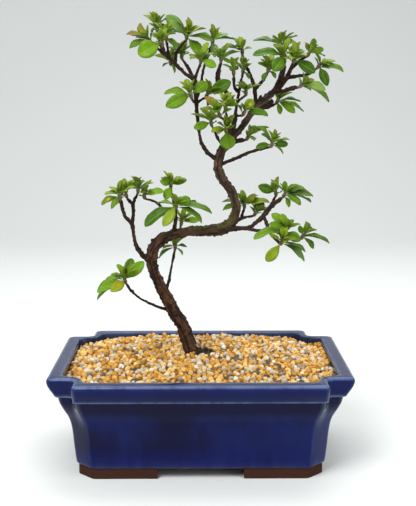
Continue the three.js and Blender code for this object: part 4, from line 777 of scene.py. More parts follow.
def loft(rings):
    count = len(rings[0])
    vertices = [tuple(point) for ring in rings for point in ring]
    faces = []
    for ring in range(len(rings) - 1):
        for side in range(count):
            after = (side + 1) % count
            a, b = ring * count + side, ring * count + after
            faces.append((a, b, b + count, a + count))
    faces.append(tuple(reversed(range(count))))
    last = (len(rings) - 1) * count
    faces.append(tuple(range(last, last + count)))
    return vertices, faces


def ring_at(shape, inset, height):
    outline = pot_outline(inset=inset, **shape)
    return np.column_stack([outline, np.full(len(outline), height)]) * MM


def block(name, width, depth, bottom, top):
    vertices = [(x * MM, y * MM, z * MM) for z in (bottom, top)
                for x, y in ((-width / 2, -depth / 2), (width / 2, -depth / 2),
                             (width / 2, depth / 2), (-width / 2, depth / 2))]
    faces = [(3, 2, 1, 0), (4, 5, 6, 7), (0, 1, 5, 4), (1, 2, 6, 5), (2, 3, 7, 6), (3, 0, 4, 7)]
    return link(name, vertices, faces)


def cut(piece, *tools):
    for tool in tools:
        modifier = piece.modifiers.new("cut", "BOOLEAN")
        modifier.operation = "DIFFERENCE"
        modifier.solver = "EXACT"
        modifier.object = tool
    settle_modifiers(piece)
    for tool in tools:
        bpy.data.objects.remove(tool)


def make_feet():
    """A ring under the body, cut away in the middle of each side."""
    rings = [ring_at(BODY, FOOT_INSET, z) for z in (0, FOOT_HEIGHT + FOOT_OVERLAP)]
    feet = link("feet", *loft(rings))
    hollow = [ring_at(BODY, FOOT_INSET + FOOT_BREADTH, z) for z in (-CUT_PAST, FOOT_HEIGHT)]
    cut(feet, link("inside", *loft(hollow)),
        block("front_gap", FOOT_GAP_FRONT, POT_DEPTH, -CUT_PAST, FOOT_HEIGHT),
        block("side_gap", POT_WIDTH, FOOT_GAP_SIDE, -CUT_PAST, FOOT_HEIGHT))
    return feet


def make_pot(glaze):
    rows = [({**BODY, "notch": notch, "filled": filled}, height, inset, thin)
            for height, inset, notch, filled, thin in curved(BODY_PROFILE, BODY_STEPS)]
    rows += [({**BAND, "notch": notch}, height, inset, thin)
             for height, inset, notch, thin in BAND_PROFILE]
    rows += [(MOUTH, *row) for row in RIM_PROFILE]
    rows += [(CAVITY, *row) for row in CAVITY_PROFILE]
    rings = [ring_at(shape, inset, height) for shape, height, inset, _ in rows]
    # Pale lines on edges and corner crests, partly thin glaze and partly painted highlight.
    crest = corner_edges() * EDGE_THINNESS_AND_HIGHLIGHT
    thin = np.concatenate([np.maximum(row[3], crest) for row in rows])
    pot = link("glazed_pot", *loft(rings))
    set_values(pot.data, "thin_glaze_and_highlight", thin)
    outer = len(rows) - len(RIM_PROFILE) - len(CAVITY_PROFILE)
    inner = [float(i >= outer and row[1] < INNER_WALL_TOP) for i, row in enumerate(rows)]
    set_values(pot.data, "inner_wall", np.repeat(inner, len(rings[0])))
    holes = []
    for x in DRAIN_HOLE_PLACES:
        circle = arc(x, 0, DRAIN_HOLE_RADIUS, 0, 2 * math.pi, DRAIN_HOLE_SIDES)[:-1]
        levels = [np.column_stack([circle, np.full(len(circle), z)]) * MM
                  for z in (-CUT_PAST, DRAIN_HOLE_TOP)]
        holes.append(link("hole", *loft(levels)))
    cut(pot, *holes)
    feet = make_feet()
    body = bmesh.new()
    body.from_mesh(pot.data)
    body.from_mesh(feet.data)
    body.to_mesh(pot.data)
    body.free()
    bpy.data.objects.remove(feet)
    dress(pot, glaze)
    finish_piece(pot, ["pot"], sharp_over=POT_SHARP_OVER)


def make_glaze():
    """Cobalt glaze, pooled dark at random, over brown clay at the foot. Its edges are pale, partly
    broken thin and partly painted highlight; under the band and on the inner wall it has painted
    shade, near the foot and on the rim's top painted reflections, and the clay is darkened as
    painted shade.
    """
    material, nodes, shader = new_material("cobalt_glaze")
    place = object_place(nodes)
    height = nodes.parts(place)[2]
    thin = attribute(nodes, "thin_glaze_and_highlight").outputs["Fac"]
    inner = attribute(nodes, "inner_wall").outputs["Fac"]
    clouds = nodes.noise(place, REPEATS["glaze_clouds"], 3.0, 0.5)
    runs = nodes.noise(nodes.vector("MULTIPLY", place, (1.0, 1.0, 0.12)),
                       REPEATS["glaze_runs"], 3.0)

    def between_heights(span):
        return nodes.ramp(height, span[0] * MM, span[1] * MM)

    depth = nodes.ramp(nodes.plus(clouds, nodes.times(runs, 0.25)), 0.5, 0.8)
    colour = nodes.mix(depth, *GLAZE_DEPTHS)
    # Near the foot a painted reflection, under the band a painted shade, and from the band up a
    # brighter blue.
    for sets_in, ends, fully, tone in GLAZE_ZONES:
        zone = between_heights(sets_in)
        if ends:
            zone = nodes.times(zone, between_heights(ends))
        colour = nodes.mix(nodes.times(zone, fully), colour, tone)
    # Painted reflection on the rim's top.
    rim = nodes.times(between_heights(GLAZE_RIM_REFLECTION_FROM), nodes.ramp(clouds, 0.3, 0.7, 0.35, 0.8))
    colour = nodes.mix(rim, colour, GLAZE_RIM_REFLECTION)
    # Painted shade on the inner wall.
    colour = nodes.mix(nodes.times(inner, 0.9), colour, GLAZE_INSIDE_SHADE)
    # Pale edges, partly thin glaze and partly painted highlight.
    broken_glaze_and_highlight = nodes.times(thin, nodes.ramp(runs, 0.3, 0.62, 0.55, 1.0))
    colour = nodes.mix(broken_glaze_and_highlight, colour, GLAZE_BROKEN_AND_HIGHLIGHT)
    ragged = nodes.spread(nodes.noise(place, REPEATS["clay_edge"], 4.0),
                          CLAY_EDGE_RAGGED * MM, CLAY_EDGE * MM)
    bare = nodes.ramp(nodes.minus(height, ragged), CLAY_EDGE_SOFT * MM, -CLAY_EDGE_SOFT * MM)
    grit = nodes.noise(place, REPEATS["clay_grit"], 4.0, 0.7)
    gloss = nodes.spread(nodes.noise(place, REPEATS["glaze_gloss"], 2.0), 0.12, 0.05)
    ripple = nodes.times(nodes.noise(place, REPEATS["glaze_ripple"], 2.0), 0.5)
    # Bare clay at the foot, darkened as painted shade.
    finish_material(nodes, shader, nodes.mix(bare, colour, nodes.mix(grit, *CLAY_AND_PAINTED_SHADE)),
                    nodes.calc("MAXIMUM", gloss, nodes.times(bare, 0.88)),
                    (nodes.plus(ripple, nodes.times(grit, bare, 2.0)), RELIEF["glaze"], 0.5),
                    specular=0.15)
    shader.inputs["IOR"].default_value = GLAZE_IOR
    return material


# Soil

def inside_outline(points, outline):
    """Which of the points lie within the outline, by counting the edges to one side."""
    x, y = points[:, 0, None], points[:, 1, None]
    first, second = outline, np.roll(outline, -1, axis=0)
    spans = (first[:, 1] > y) != (second[:, 1] > y)
    rise = np.where(second[:, 1] == first[:, 1], 1.0, second[:, 1] - first[:, 1])
    crossing = first[:, 0] + (second[:, 0] - first[:, 0]) * (y - first[:, 1]) / rise
    return (spans & (x < crossing)).sum(axis=1) % 2 == 1


def soil_top():
    """The upper faces of the bed, up to a grain's width from the pot's wall."""
    bed = bmesh.new()
    bed.from_mesh(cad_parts["soil"].data)
    bmesh.ops.remove_doubles(bed, verts=bed.verts, dist=WELD * MM)
    below = [face for face in bed.faces
             if face.normal.z < BED_TOP_SLOPE or face.calc_center_median().z < BED_TOP_ABOVE * MM]
    bmesh.ops.delete(bed, geom=below, context="FACES")
    bmesh.ops.subdivide_edges(bed, edges=bed.edges, cuts=BED_CUTS, use_grid_fill=True)
    centres = np.array([face.calc_center_median()[:2] for face in bed.faces]) / MM
    kept = inside_outline(centres, pot_outline(inset=GRAIN_WALL_GAP, **MOUTH))
    bed.faces.ensure_lookup_table()
    outside = [bed.faces[int(i)] for i in np.flatnonzero(~kept)]
    bmesh.ops.delete(bed, geom=outside, context="FACES")
    top = bpy.data.meshes.new("soil_top")
    bed.to_mesh(top)
    bed.free()
    return top


def grain_tree():
    tree, nodes, start, end, known = new_tree("loose_grains", {
        "Spacing": "NodeSocketFloat", "Seed": "NodeSocketInt", "First Share": "NodeSocketFloat",
        "Last Share": "NodeSocketFloat", "Smallest": "NodeSocketFloat",
        "Largest": "NodeSocketFloat",
        "Material": "NodeSocketMaterial"})
    points = nodes.add("GeometryNodeDistributePointsOnFaces", {
        "Mesh": start["Geometry"], "Distance Min": start["Spacing"],
        "Density Max": GRAIN_DENSITY, "Seed": start["Seed"]},
        distribute_method="POISSON").outputs["Points"]

    def chance(kind, output, low, high, shift):
        first = {"FLOAT": 2, "FLOAT_VECTOR": 0}[kind]
        node = nodes.add("FunctionNodeRandomValue", data_type=kind)
        nodes.feed(node.inputs[first], low)
        nodes.feed(node.inputs[first + 1], high)
        nodes.feed(node.inputs["Seed"], nodes.plus(start["Seed"], shift))
        return node.outputs[output]

    share = chance("FLOAT", 1, 0.0, 1.0, 1)
    other = nodes.calc("MAXIMUM", nodes.calc("LESS_THAN", share, start["First Share"]),
                      nodes.calc("GREATER_THAN", share, start["Last Share"]))
    kept = nodes.add("GeometryNodeDeleteGeometry", {0: points, 1: other}, domain="POINT").outputs[0]
    pebble = nodes.add("GeometryNodeMeshIcoSphere", {"Radius": 0.5, "Subdivisions": 2}).outputs[0]
    across = chance("FLOAT", 1, start["Smallest"], start["Largest"], 2)
    uneven = chance("FLOAT_VECTOR", 0, *GRAIN_SHAPE, 3)
    turned = chance("FLOAT_VECTOR", 0, (0.0, 0.0, 0.0), GRAIN_TURN, 4)
    placed = nodes.add("GeometryNodeInstanceOnPoints", {
        "Points": kept, "Instance": pebble, "Rotation": turned,
        "Scale": nodes.scaled(uneven, across)}).outputs[0]
    shaded = nodes.add("GeometryNodeStoreNamedAttribute", {
        "Geometry": placed, "Name": "shade", "Value": chance("FLOAT", 1, 0.0, 1.0, 5)},
        data_type="FLOAT", domain="INSTANCE").outputs[0]
    real = nodes.add("GeometryNodeRealizeInstances", {0: shaded}).outputs[0]
    place = nodes.add("GeometryNodeInputPosition").outputs[0]
    normal = nodes.add("GeometryNodeInputNormal").outputs[0]
    lump = nodes.spread(nodes.noise(place, GRAIN_LUMP_SCALE, 2.0),
                        GRAIN_LUMP * MM, -GRAIN_LUMP / 2 * MM)
    shaped = nodes.add("GeometryNodeSetPosition", {
        "Geometry": real, "Offset": nodes.scaled(normal, lump)}).outputs[0]
    nodes.feed(end, coated(nodes, shaped, start["Material"]))
    return tree, known


def make_grains():
    tree, known = grain_tree()
    top = soil_top()
    for name, grain in GRAINS.items():
        piece = bpy.data.objects.new(f"{name}_grains", top.copy())
        bpy.context.scene.collection.objects.link(piece)
        run_tree(piece, tree, known, {
            "Spacing": GRAIN_SPACING * MM, "Seed": GRAIN_SEED,
            "First Share": grain["share"][0], "Last Share": grain["share"][1],
            "Smallest": grain["size"][0] * MM, "Largest": grain["size"][1] * MM,
            "Material": make_grain_material(name, *grain["tones"], grain["pores"])})
        finish_piece(piece, [], sharp_over=GRAIN_SHARP_OVER)


def darkened_in_hollow(nodes, place, colour):
    """The soil's colour, turned near black in the hollow beside the trunk."""
    middle = tuple(value * MM for value in DARK_HOLLOW_MIDDLE)
    away = nodes.add("ShaderNodeVectorMath", {0: place, 1: middle}, operation="DISTANCE")
    hollow_dark = nodes.ramp(away.outputs["Value"], *(reach * MM for reach in DARK_HOLLOW_REACH))
    return nodes.mix(nodes.times(hollow_dark, 0.97), colour, DARK_HOLLOW_SOIL)


def make_grain_material(name, dark, middle, light, pores):
    """Porous grains, each of its own shade, and near black in the hollow beside the trunk."""
    material, nodes, shader = new_material(name)
    place = object_place(nodes)
    shade = attribute(nodes, "shade").outputs["Fac"]
    mottle = nodes.noise(place, REPEATS["grain_mottle"], 4.0, 0.65)
    tone = nodes.plus(nodes.times(shade, 0.7), nodes.times(mottle, 0.45))
    colour = nodes.mix(nodes.ramp(tone, 0.1, 0.55), dark, middle)
    colour = nodes.mix(nodes.ramp(tone, 0.55, 1.05), colour, light)
    pits = nodes.ramp(nodes.cells(place, REPEATS["grain_pits"]), 0.10, 0.38)
    colour = nodes.mix(nodes.times(nodes.minus(1.0, pits), pores), colour, dark)
    finish_material(nodes, shader, darkened_in_hollow(nodes, place, colour), nodes.spread(mottle, 0.25, 0.68),
                    (nodes.plus(mottle, nodes.times(pits, 0.6)), RELIEF["grain"], 0.8),
                    specular=0.15)
    return material


def make_bed_material():
    """The fine dust and shadow between the grains."""
    material, nodes, shader = new_material("packed_soil")
    place = object_place(nodes)
    crumbs = nodes.cells(place, REPEATS["bed_crumbs"])
    dust = nodes.noise(place, REPEATS["bed_dust"], 5.0, 0.7)
    colour = nodes.mix(nodes.ramp(crumbs, 0.1, 0.7), *BED_CRUMBS)
    colour = nodes.mix(nodes.ramp(dust, 0.55, 0.8), colour, BED_DUST)
    finish_material(nodes, shader, darkened_in_hollow(nodes, place, colour), nodes.spread(dust, 0.2, 0.78),
                    (nodes.plus(crumbs, dust), RELIEF["bed"], 0.9))
    return material


def make_netting():
    """Black plastic netting with fine ribs both ways."""
    material, nodes, shader = new_material("black_netting")
    place = object_place(nodes)
    ribs = nodes.calc("MAXIMUM", *(nodes.calc("SINE", nodes.times(way, REPEATS["netting_ribs"]))
                                   for way in nodes.parts(place)[:2]))
    scuff = nodes.noise(place, REPEATS["netting_scuff"], 4.0)
    finish_material(nodes, shader, nodes.mix(scuff, *NETTING), nodes.spread(scuff, 0.25, 0.45),
                    (ribs, RELIEF["netting"], 0.6))
    return material


# Wood

def in_depth(place):
    """A place seen on the middle plane, moved along the line of sight to its depth."""
    right, back, up, size = place
    eye = [value / MM for value in EYE]
    away = 1 - back / eye[1]
    return [eye[0] + (right - eye[0]) * away, back, eye[2] + (up - eye[2]) * away, size]


def curve_point(points, t):
    """A point on the smooth curve through the points, with t from 0 to 1."""
    spot = (len(points) - 1) * t
    i = min(int(spot), len(points) - 2)
    t = spot - i
    start, stop = points[i], points[i + 1]
    before = points[i - 1] if i > 0 else 2 * points[0] - points[1]
    after = points[i + 2] if i + 2 < len(points) else 2 * points[-1] - points[-2]
    leave, arrive = 0.5 * (stop - before), 0.5 * (after - start)
    return (start + leave * t + (3 * (stop - start) - 2 * leave - arrive) * t ** 2
            + (2 * (start - stop) + leave + arrive) * t ** 3)


def unit(vector):
    return vector / np.linalg.norm(vector)


def square_to(vector, way):
    return vector - way * np.dot(vector, way)


def stem_places():
    return {name: np.array([in_depth(place) for place in places]) for name, places in WOOD.items()}


def rooted(points):
    """A stem carried on below the soil, where it swells and then ends bluntly."""
    x, y, z, radius = points[0]
    shift_right, shift_back = ROOT_SHIFT
    end = [x + shift_right, y + shift_back, z - ROOT_DEPTH, radius * ROOT_END]
    swell = [x + shift_right / 2, y + shift_back / 2, z - ROOT_DEPTH / 2,
             radius * ROOT_SWELL]
    return np.vstack([end, swell, points])


def stem_tree():
    tree, nodes, start, end, known = new_tree("stems", {
        "Sides": "NodeSocketInt", "Spacing": "NodeSocketFloat", "Material": "NodeSocketMaterial"})
    lines = nodes.add("GeometryNodeMeshToCurve", {0: start["Geometry"]}).outputs[0]
    lines = nodes.add("GeometryNodeCurveSplineType", {0: lines},
                      spline_type="CATMULL_ROM").outputs[0]
    lines = nodes.add("GeometryNodeResampleCurve", {
        "Curve": given_radii(nodes, lines), "Length": start["Spacing"]}, mode="LENGTH").outputs[0]
    tubes = tubes_along(nodes, lines, start["Sides"])
    real = nodes.add("GeometryNodeRealizeInstances", {0: tubes}).outputs[0]
    nodes.feed(end, coated(nodes, real, start["Material"]))
    return tree, known


def stem_line_object(name, stems):
    """One chain of edges for each stem, with its radii."""
    vertices, edges, radii = [], [], []
    for points in stems:
        edges += [(len(vertices) + i, len(vertices) + i + 1) for i in range(len(points) - 1)]
        vertices += [tuple(place[:3] * MM) for place in points]
        radii += [place[3] * MM for place in points]
    lines = link(name, vertices, [], edges)
    set_values(lines.data, "thickness", radii)
    return lines


def along_stems(stems):
    """Samples of every stem's middle line, each with its way, its sides, its distance from the
    stem's foot, its radius and whether it is the trunk."""
    samples = []
    for order, points in enumerate(stems):
        side = np.array([0.0, 1.0, 0.0])
        travelled = 0.0
        count = (len(points) - 1) * SAMPLES_A_SPAN
        last = points[0][:3]
        for step in range(count + 1):
            t = step / count
            centre = curve_point(points, t)
            ahead = curve_point(points, min(1.0, t + LOOK_AHEAD))
            behind = curve_point(points, max(0.0, t - LOOK_AHEAD))
            way = unit(ahead[:3] - behind[:3])
            side = unit(square_to(side, way))
            travelled += np.linalg.norm(centre[:3] - last)
            last = centre[:3]
            other = np.cross(way, side)
            samples.append((centre[:3], way, side, other, travelled, centre[3], order))
    return samples


def bell(value, middle, width):
    return math.exp(-((value - middle) / width) ** 2)


def noise_at(place, scales, shift=0):
    x, y, z = (value * scale for value, scale in zip(place, scales))
    return noise.noise(Vector((x + shift, y, z)))


def bark_relief(place, grain, radius):
    """Furrows that run with the grain, knobs and plates, in millimetres."""
    furrow = 1 - abs(noise_at(grain, FURROW_SCALE)) * 2.2
    plates = noise_at(grain, PLATE_SCALE, PLATE_SHIFT)
    lumps = noise_at(place, LUMP_SCALE)
    warts = max(0.0, noise_at(place, WART_SCALE))
    bold = (FURROW_DEPTH * (furrow - 0.6) + PLATE_DEPTHS[0] * plates + LUMP_DEPTH * lumps
            + WART_DEPTHS[0] * warts)
    return min(1.0, radius / BOLD_RADIUS) * bold + PLATE_DEPTHS[1] * plates + WART_DEPTHS[1] * warts


def make_wood(bark):
    places = stem_places()
    stems = [rooted(places["trunk"])] + [places[name] for name in WOOD if name != "trunk"]
    wood = stem_line_object("trunk_and_branches", stems)
    tree, known = stem_tree()
    run_tree(wood, tree, known, {
        "Sides": STEM_SIDES, "Spacing": STEM_SPACING * MM, "Material": bark})
    fusing = wood.modifiers.new("fusing", "REMESH")
    fusing.mode = "VOXEL"
    fusing.voxel_size = BARK_VOXEL * MM
    fusing.use_smooth_shade = True
    easing = wood.modifiers.new("easing", "SMOOTH")
    easing.factor = BARK_EASING
    easing.iterations = BARK_EASING_ROUNDS
    settle_modifiers(wood)
    samples = along_stems(stems)
    finder = kdtree.KDTree(len(samples))
    for index, sample in enumerate(samples):
        finder.insert(sample[0], index)
    finder.balance()
    vertices = get_places(wood.data) / MM
    normals = np.array([normal.vector for normal in wood.data.vertex_normals])
    grains, looks, moved = [], [], np.empty_like(vertices)
    for i, vertex in enumerate(vertices):
        near = finder.find_n(vertex, NEAREST_SAMPLES)
        _, index, _ = min(near, key=lambda found: found[2] - samples[found[1]][5])
        centre, way, side, other, along, radius, order = samples[index]
        arm = vertex - centre
        grain = (arm @ side, arm @ other, along + arm @ way)
        moved[i] = vertex + normals[i] * bark_relief(vertex, grain, radius)
        grains.append(tuple(value * MM for value in grain))
        looks.append(bark_look(vertex, normals[i], radius, order))
    wood.data.vertices.foreach_set("co", (moved * MM).ravel())
    set_values(wood.data, "grain", grains)
    set_values(wood.data, "bark_look", looks)
    dress(wood, bark)
    finish_piece(wood, ["wood"])


def bark_look(place, normal, radius, order):
    """How mossy, how grey and how much of a twig the bark is at a place."""
    if order > 0:
        thin = min(1.0, max(0.0, (2.2 - radius) / 1.2))
        return (0.0, 0.25 * (1 - thin), 0.35 + 0.65 * thin)
    x, _, z = place

    def patch(middle_x, reach_x, middle_z, reach_z):
        return bell(x, middle_x, reach_x) * bell(z, middle_z, reach_z)

    stretch = patch(*MOSS_STRETCH) * max(0.0, normal[2]) ** 0.7
    bend = patch(*MOSS_BEND) * max(0.0, 0.45 + 0.6 * normal[2] - 0.25 * normal[0])
    above = bell(z, *MOSS_ABOVE) * max(0.0, normal[0])
    moss = min(1.0, 1.1 * stretch + 1.1 * bend + 0.3 * above)
    return (moss, min(1.0, max(0.0, (z - GREY_FROM) / GREY_OVER)), 0.0)


def make_bark():
    """Furrowed flaking bark: red-brown below, greyer above, dark in its cracks, with moss where
    light falls on it, and nearly black on the twigs."""
    material, nodes, shader = new_material("azalea_bark")
    place = object_place(nodes)
    grain = attribute(nodes, "grain").outputs["Vector"]
    moss, grey, twig = nodes.parts(attribute(nodes, "bark_look").outputs["Vector"])
    run = nodes.vector("MULTIPLY", grain, (1.0, 1.0, 0.2))
    fibres = nodes.noise(run, REPEATS["bark_fibres"], 5.0, 0.65, 0.4)
    cracks = nodes.ramp(nodes.noise(run, REPEATS["bark_cracks"], 3.0, 0.6, 0.5), 0.40, 0.56)
    flakes = nodes.cells(nodes.vector("MULTIPLY", grain, (1.0, 1.0, 0.42)),
                         REPEATS["bark_flakes"])
    patches = nodes.noise(place, REPEATS["bark_patches"], 3.0)
    greyed = nodes.times(grey, nodes.ramp(patches, 0.3, 0.65, 0.45, 1.0))
    colour = nodes.mix(greyed, nodes.mix(fibres, *BARK["red"]), nodes.mix(fibres, *BARK["pale"]))
    orange = nodes.times(nodes.ramp(flakes, 0.30, 0.18),
                         nodes.ramp(nodes.noise(place, REPEATS["bark_orange"], 2.0), 0.54, 0.66))
    colour = nodes.mix(nodes.times(orange, nodes.minus(0.8, twig)), colour, BARK_FLAKE)
    colour = nodes.mix(nodes.times(nodes.minus(1.0, cracks), 0.92), colour, BARK_CRACK)
    dark_twig = nodes.mix(nodes.noise(run, REPEATS["bark_twig"], 4.0), *BARK["twig"])
    colour = nodes.mix(nodes.times(twig, 0.85), colour, dark_twig)
    tufts = nodes.ramp(nodes.noise(place, REPEATS["moss_tufts"], 5.0, 0.7), 0.38, 0.62)
    green = nodes.mix(nodes.noise(place, REPEATS["moss_tips"], 3.0), *BARK["moss"])
    cover = nodes.times(moss, nodes.ramp(tufts, 0.0, 1.0, 0.25, 1.0))
    height = nodes.plus(nodes.times(fibres, 0.6), cracks)
    height = nodes.plus(height, nodes.times(tufts, nodes.times(moss, 0.8)))
    finish_material(nodes, shader, nodes.mix(cover, colour, green),
                    nodes.spread(fibres, 0.25, 0.62), (height, RELIEF["bark"], 1.0), specular=0.2)
    return material


# Leaves

def blade_share(t):
    return np.sin(math.pi * t ** BLADE_SKEW) ** BLADE_FULLNESS


def leaf_frame(base, tip, axis, seen):
    """A leaf's frame: its length, the way it runs, the way its upper face looks, its breadth."""
    length = np.linalg.norm(tip - base)
    run = (tip - base) / length
    breadth = min(WIDEST_LEAF, LEAF_PROPORTION * length + LEAF_BREADTH_MORE)
    outward = square_to(axis, run)
    if np.linalg.norm(outward) < EDGE_ON:
        outward = -FRONT_VIEW
    face = outward = unit(square_to(outward, run))
    if seen > 0:
        breadth = max(breadth, seen)
        to_viewer = square_to(-FRONT_VIEW, run)
        most = np.linalg.norm(to_viewer)
        to_viewer = to_viewer / most
        turn = math.acos(min(1.0, seen / (breadth * max(most, EDGE_ON))))
        sideways = np.cross(run, to_viewer)
        if sideways @ outward < 0:
            sideways = -sideways
        face = to_viewer * math.cos(turn) + sideways * math.sin(turn)
    return {"base": base, "tip": tip, "run": run, "length": length, "breadth": breadth,
            "face": face}


SAMPLE_GRID = [(t, across) for t in (0.22, 0.34, 0.46, 0.58, 0.7, 0.82, 0.91)
               for across in (-1, -0.5, 0, 0.5, 1)] + [(1.0, 0.0)]
SAMPLE_T = np.array([t for t, _ in SAMPLE_GRID])
SAMPLE_ACROSS = np.array([across for _, across in SAMPLE_GRID])


def leaf_samples(leaf):
    side = np.cross(leaf["run"], leaf["face"])
    half = leaf["breadth"] / 2 * blade_share(SAMPLE_T)
    lift = 4 * SAMPLE_T * (1 - SAMPLE_T) * LEAF_ARCH * leaf["length"]
    fold = np.abs(SAMPLE_ACROSS) * half * LEAF_FOLD * 2
    return (leaf["base"] + np.outer(SAMPLE_T * leaf["length"], leaf["run"])
            + np.outer(SAMPLE_ACROSS * half, side) + np.outer(lift + fold, leaf["face"]))


def wood_samples(places):
    spots, reaches = [], []
    for points in places.values():
        spans = len(points) - 1
        count = spans * WOOD_SAMPLES_A_SPAN
        for step in range(count + 1):
            t = step / count
            span = min(spans - 1, int(t * spans))
            spots.append(curve_point(points[:, :3], t))
            reaches.append(max(points[span][3], points[span + 1][3]) + WOOD_CLEARANCE)
    return np.array(spots), np.array(reaches)


def is_clear(samples, others, reach):
    if not len(others):
        return True
    gaps = ((samples[:, None, :] - others[None, :, :]) ** 2).sum(axis=2)
    return bool((gaps >= reach ** 2).all())


def seeded(seed):
    """The stream of numbers from 0 to 1 that the solids use."""
    word = 0xffffffff
    state = seed

    def draw():
        nonlocal state
        state = (state + 0x6d2b79f5) & word
        mixed = ((state ^ (state >> 15)) * (state | 1)) & word
        mixed ^= (mixed + (((mixed ^ (mixed >> 7)) * (mixed | 61)) & word)) & word
        return ((mixed ^ (mixed >> 14)) & word) / 4294967296
    return draw


def between(span, share):
    return span[0] + (span[1] - span[0]) * share


def nudges():
    for right, up in NUDGES:
        for step in range(NUDGE_STEPS):
            back = (1 if step % 2 == 0 else -1) * math.ceil(step / 2) * NUDGE_STEP
            yield np.array([right, back, up])


def sides_of(axis):
    """Two ways square to an axis and to each other."""
    side = unit(square_to(np.array([1.0, 0.0, 0.0]), axis))
    return side, np.cross(axis, side)


def leaf_base(shoot, towards, height):
    centre = shoot["end"] + shoot["forward"] * SHOOT_NECK + shoot["axis"] * height
    run = square_to(towards - centre, shoot["axis"])
    if np.linalg.norm(run) > 1e-4:
        run = unit(run)
    return centre + run * SHOOT_RADIUS * LEAF_ROOT_SHARE


def place_leaves(places):
    """Places every leaf by the rule that the solids follow: the shown ones, then the fillers."""
    wood, reaches = wood_samples(places)
    shoots = []
    for name, entry in SHOOTS.items():
        points = places[entry["on"]]
        end = points[-1][:3]
        axis = unit(np.array(entry["axis"], dtype=float))
        shoots.append({"name": name, "entry": entry, "end": end, "axis": axis, "leaves": [],
                       "forward": unit(end - points[-2][:3]),
                       "samples": np.empty((0, 3)), "outer": np.empty((0, 3)),
                       "core": end + np.outer(SHOOT_CORE_HEIGHTS, axis)})

    def settle(shoot, tip, seen, height, kind):
        base = leaf_base(shoot, tip, height)
        leaf = leaf_frame(base, tip, shoot["axis"], seen)
        samples = leaf_samples(leaf)
        middle = (base + tip) / 2
        if (samples[:, 2] < LEAF_ABOVE_SOIL).any():
            return False
        near = np.linalg.norm(wood - middle, axis=1) < leaf["length"]
        if not is_clear(samples, wood[near], reaches[near]):
            return False
        for other in shoots:
            if other is shoot or np.linalg.norm(other["end"] - middle) > FURTHEST_NEIGHBOUR:
                continue
            if not is_clear(samples, other["core"], LEAF_CLEARANCE + SHOOT_RADIUS):
                return False
            close = np.linalg.norm(other["samples"] - middle, axis=1) < leaf["length"]
            if not is_clear(samples, other["samples"][close], LEAF_CLEARANCE):
                return False
        outer = samples[OUTER_SAMPLES:]
        if not is_clear(outer, shoot["outer"], SISTER_CLEARANCE):
            return False
        leaf["kind"] = kind
        shoot["leaves"].append(leaf)
        shoot["samples"] = np.vstack([shoot["samples"], samples])
        shoot["outer"] = np.vstack([shoot["outer"], outer])
        return True

    for shoot in shoots:
        kinds = SPECIAL.get(shoot["name"], {})
        for order, shown in enumerate(shoot["entry"]["leaves"]):
            *seen_tip, breadth = in_depth(shown)
            for nudge in nudges():
                tip = np.array(seen_tip) + nudge
                upright = unit(tip - shoot["end"]) @ shoot["axis"]
                height = LEVEL_LEAF_HEIGHT + UPRIGHT_LEAF_RISE * upright
                if settle(shoot, tip, breadth, height, kinds.get(order, (0.0, 0.0, 0.0, 0.0))):
                    break
    for order, shoot in enumerate(shoots):
        random = seeded(FILLER_SEED + order)
        axis = shoot["axis"]
        side, other = sides_of(axis)
        placed = 0
        for turn in range(FILLER_TRIES):
            if placed >= shoot["entry"]["more"]:
                break
            angle = turn * GOLDEN_ANGLE + order
            lean = between(FILLER_LEAN, random())
            length = shoot["entry"]["size"] * between(FILLER_LENGTH, random())
            tip = (shoot["end"] + axis * (FILLER_RISE + length * math.cos(lean))
                   + side * (length * math.sin(lean) * math.cos(angle))
                   + other * (length * math.sin(lean) * math.sin(angle)))
            placed += settle(shoot, tip, 0, FILLER_FOOT + FILLER_STEP * placed, YOUNG_FILLER)
    for order, shoot in enumerate(shoots):
        add_bud_leaves(shoot, order, shoots, wood, reaches)
    return shoots


def add_bud_leaves(shoot, order, shoots, wood, reaches):
    """The small unfolding leaves in the middle of a shoot, clear of wood and other shoots."""
    random = seeded(order + BUD_SEED)
    axis = shoot["axis"]
    side, across = sides_of(axis)
    placed = 0
    for turn in range(BUD_TRIES):
        if placed >= BUD_LEAVES:
            break
        angle = turn * GOLDEN_ANGLE + order
        lean = between(BUD_LEAF_LEAN, random())
        length = (between(BUD_LEAF_LENGTH, random())
                  * (BUD_UPRIGHT_SHARE + (1 - BUD_UPRIGHT_SHARE) * math.sin(lean)))
        out = side * math.cos(angle) + across * math.sin(angle)
        base = (shoot["end"] + shoot["forward"] * SHOOT_NECK + axis * BUD_ROOT_HEIGHT
                + out * BUD_ROOT_OUT)
        tip = base + axis * length * math.cos(lean) + out * length * math.sin(lean)
        leaf = leaf_frame(base, tip, axis, 0)
        leaf["face"] = unit(square_to(-out, leaf["run"]))
        leaf["breadth"] = BUD_LEAF_PROPORTION * length
        leaf["kind"] = BUD_KIND
        samples = leaf_samples(leaf)
        near = np.linalg.norm(wood - tip, axis=1) < 2 * length
        if not is_clear(samples, wood[near], reaches[near] - WOOD_CLEARANCE / 2):
            continue
        if not all(is_clear(samples, other["samples"], BUD_CLEARANCE)
                   for other in shoots if other is not shoot):
            continue
        shoot["leaves"].append(leaf)
        shoot["samples"] = np.vstack([shoot["samples"], samples])
        placed += 1


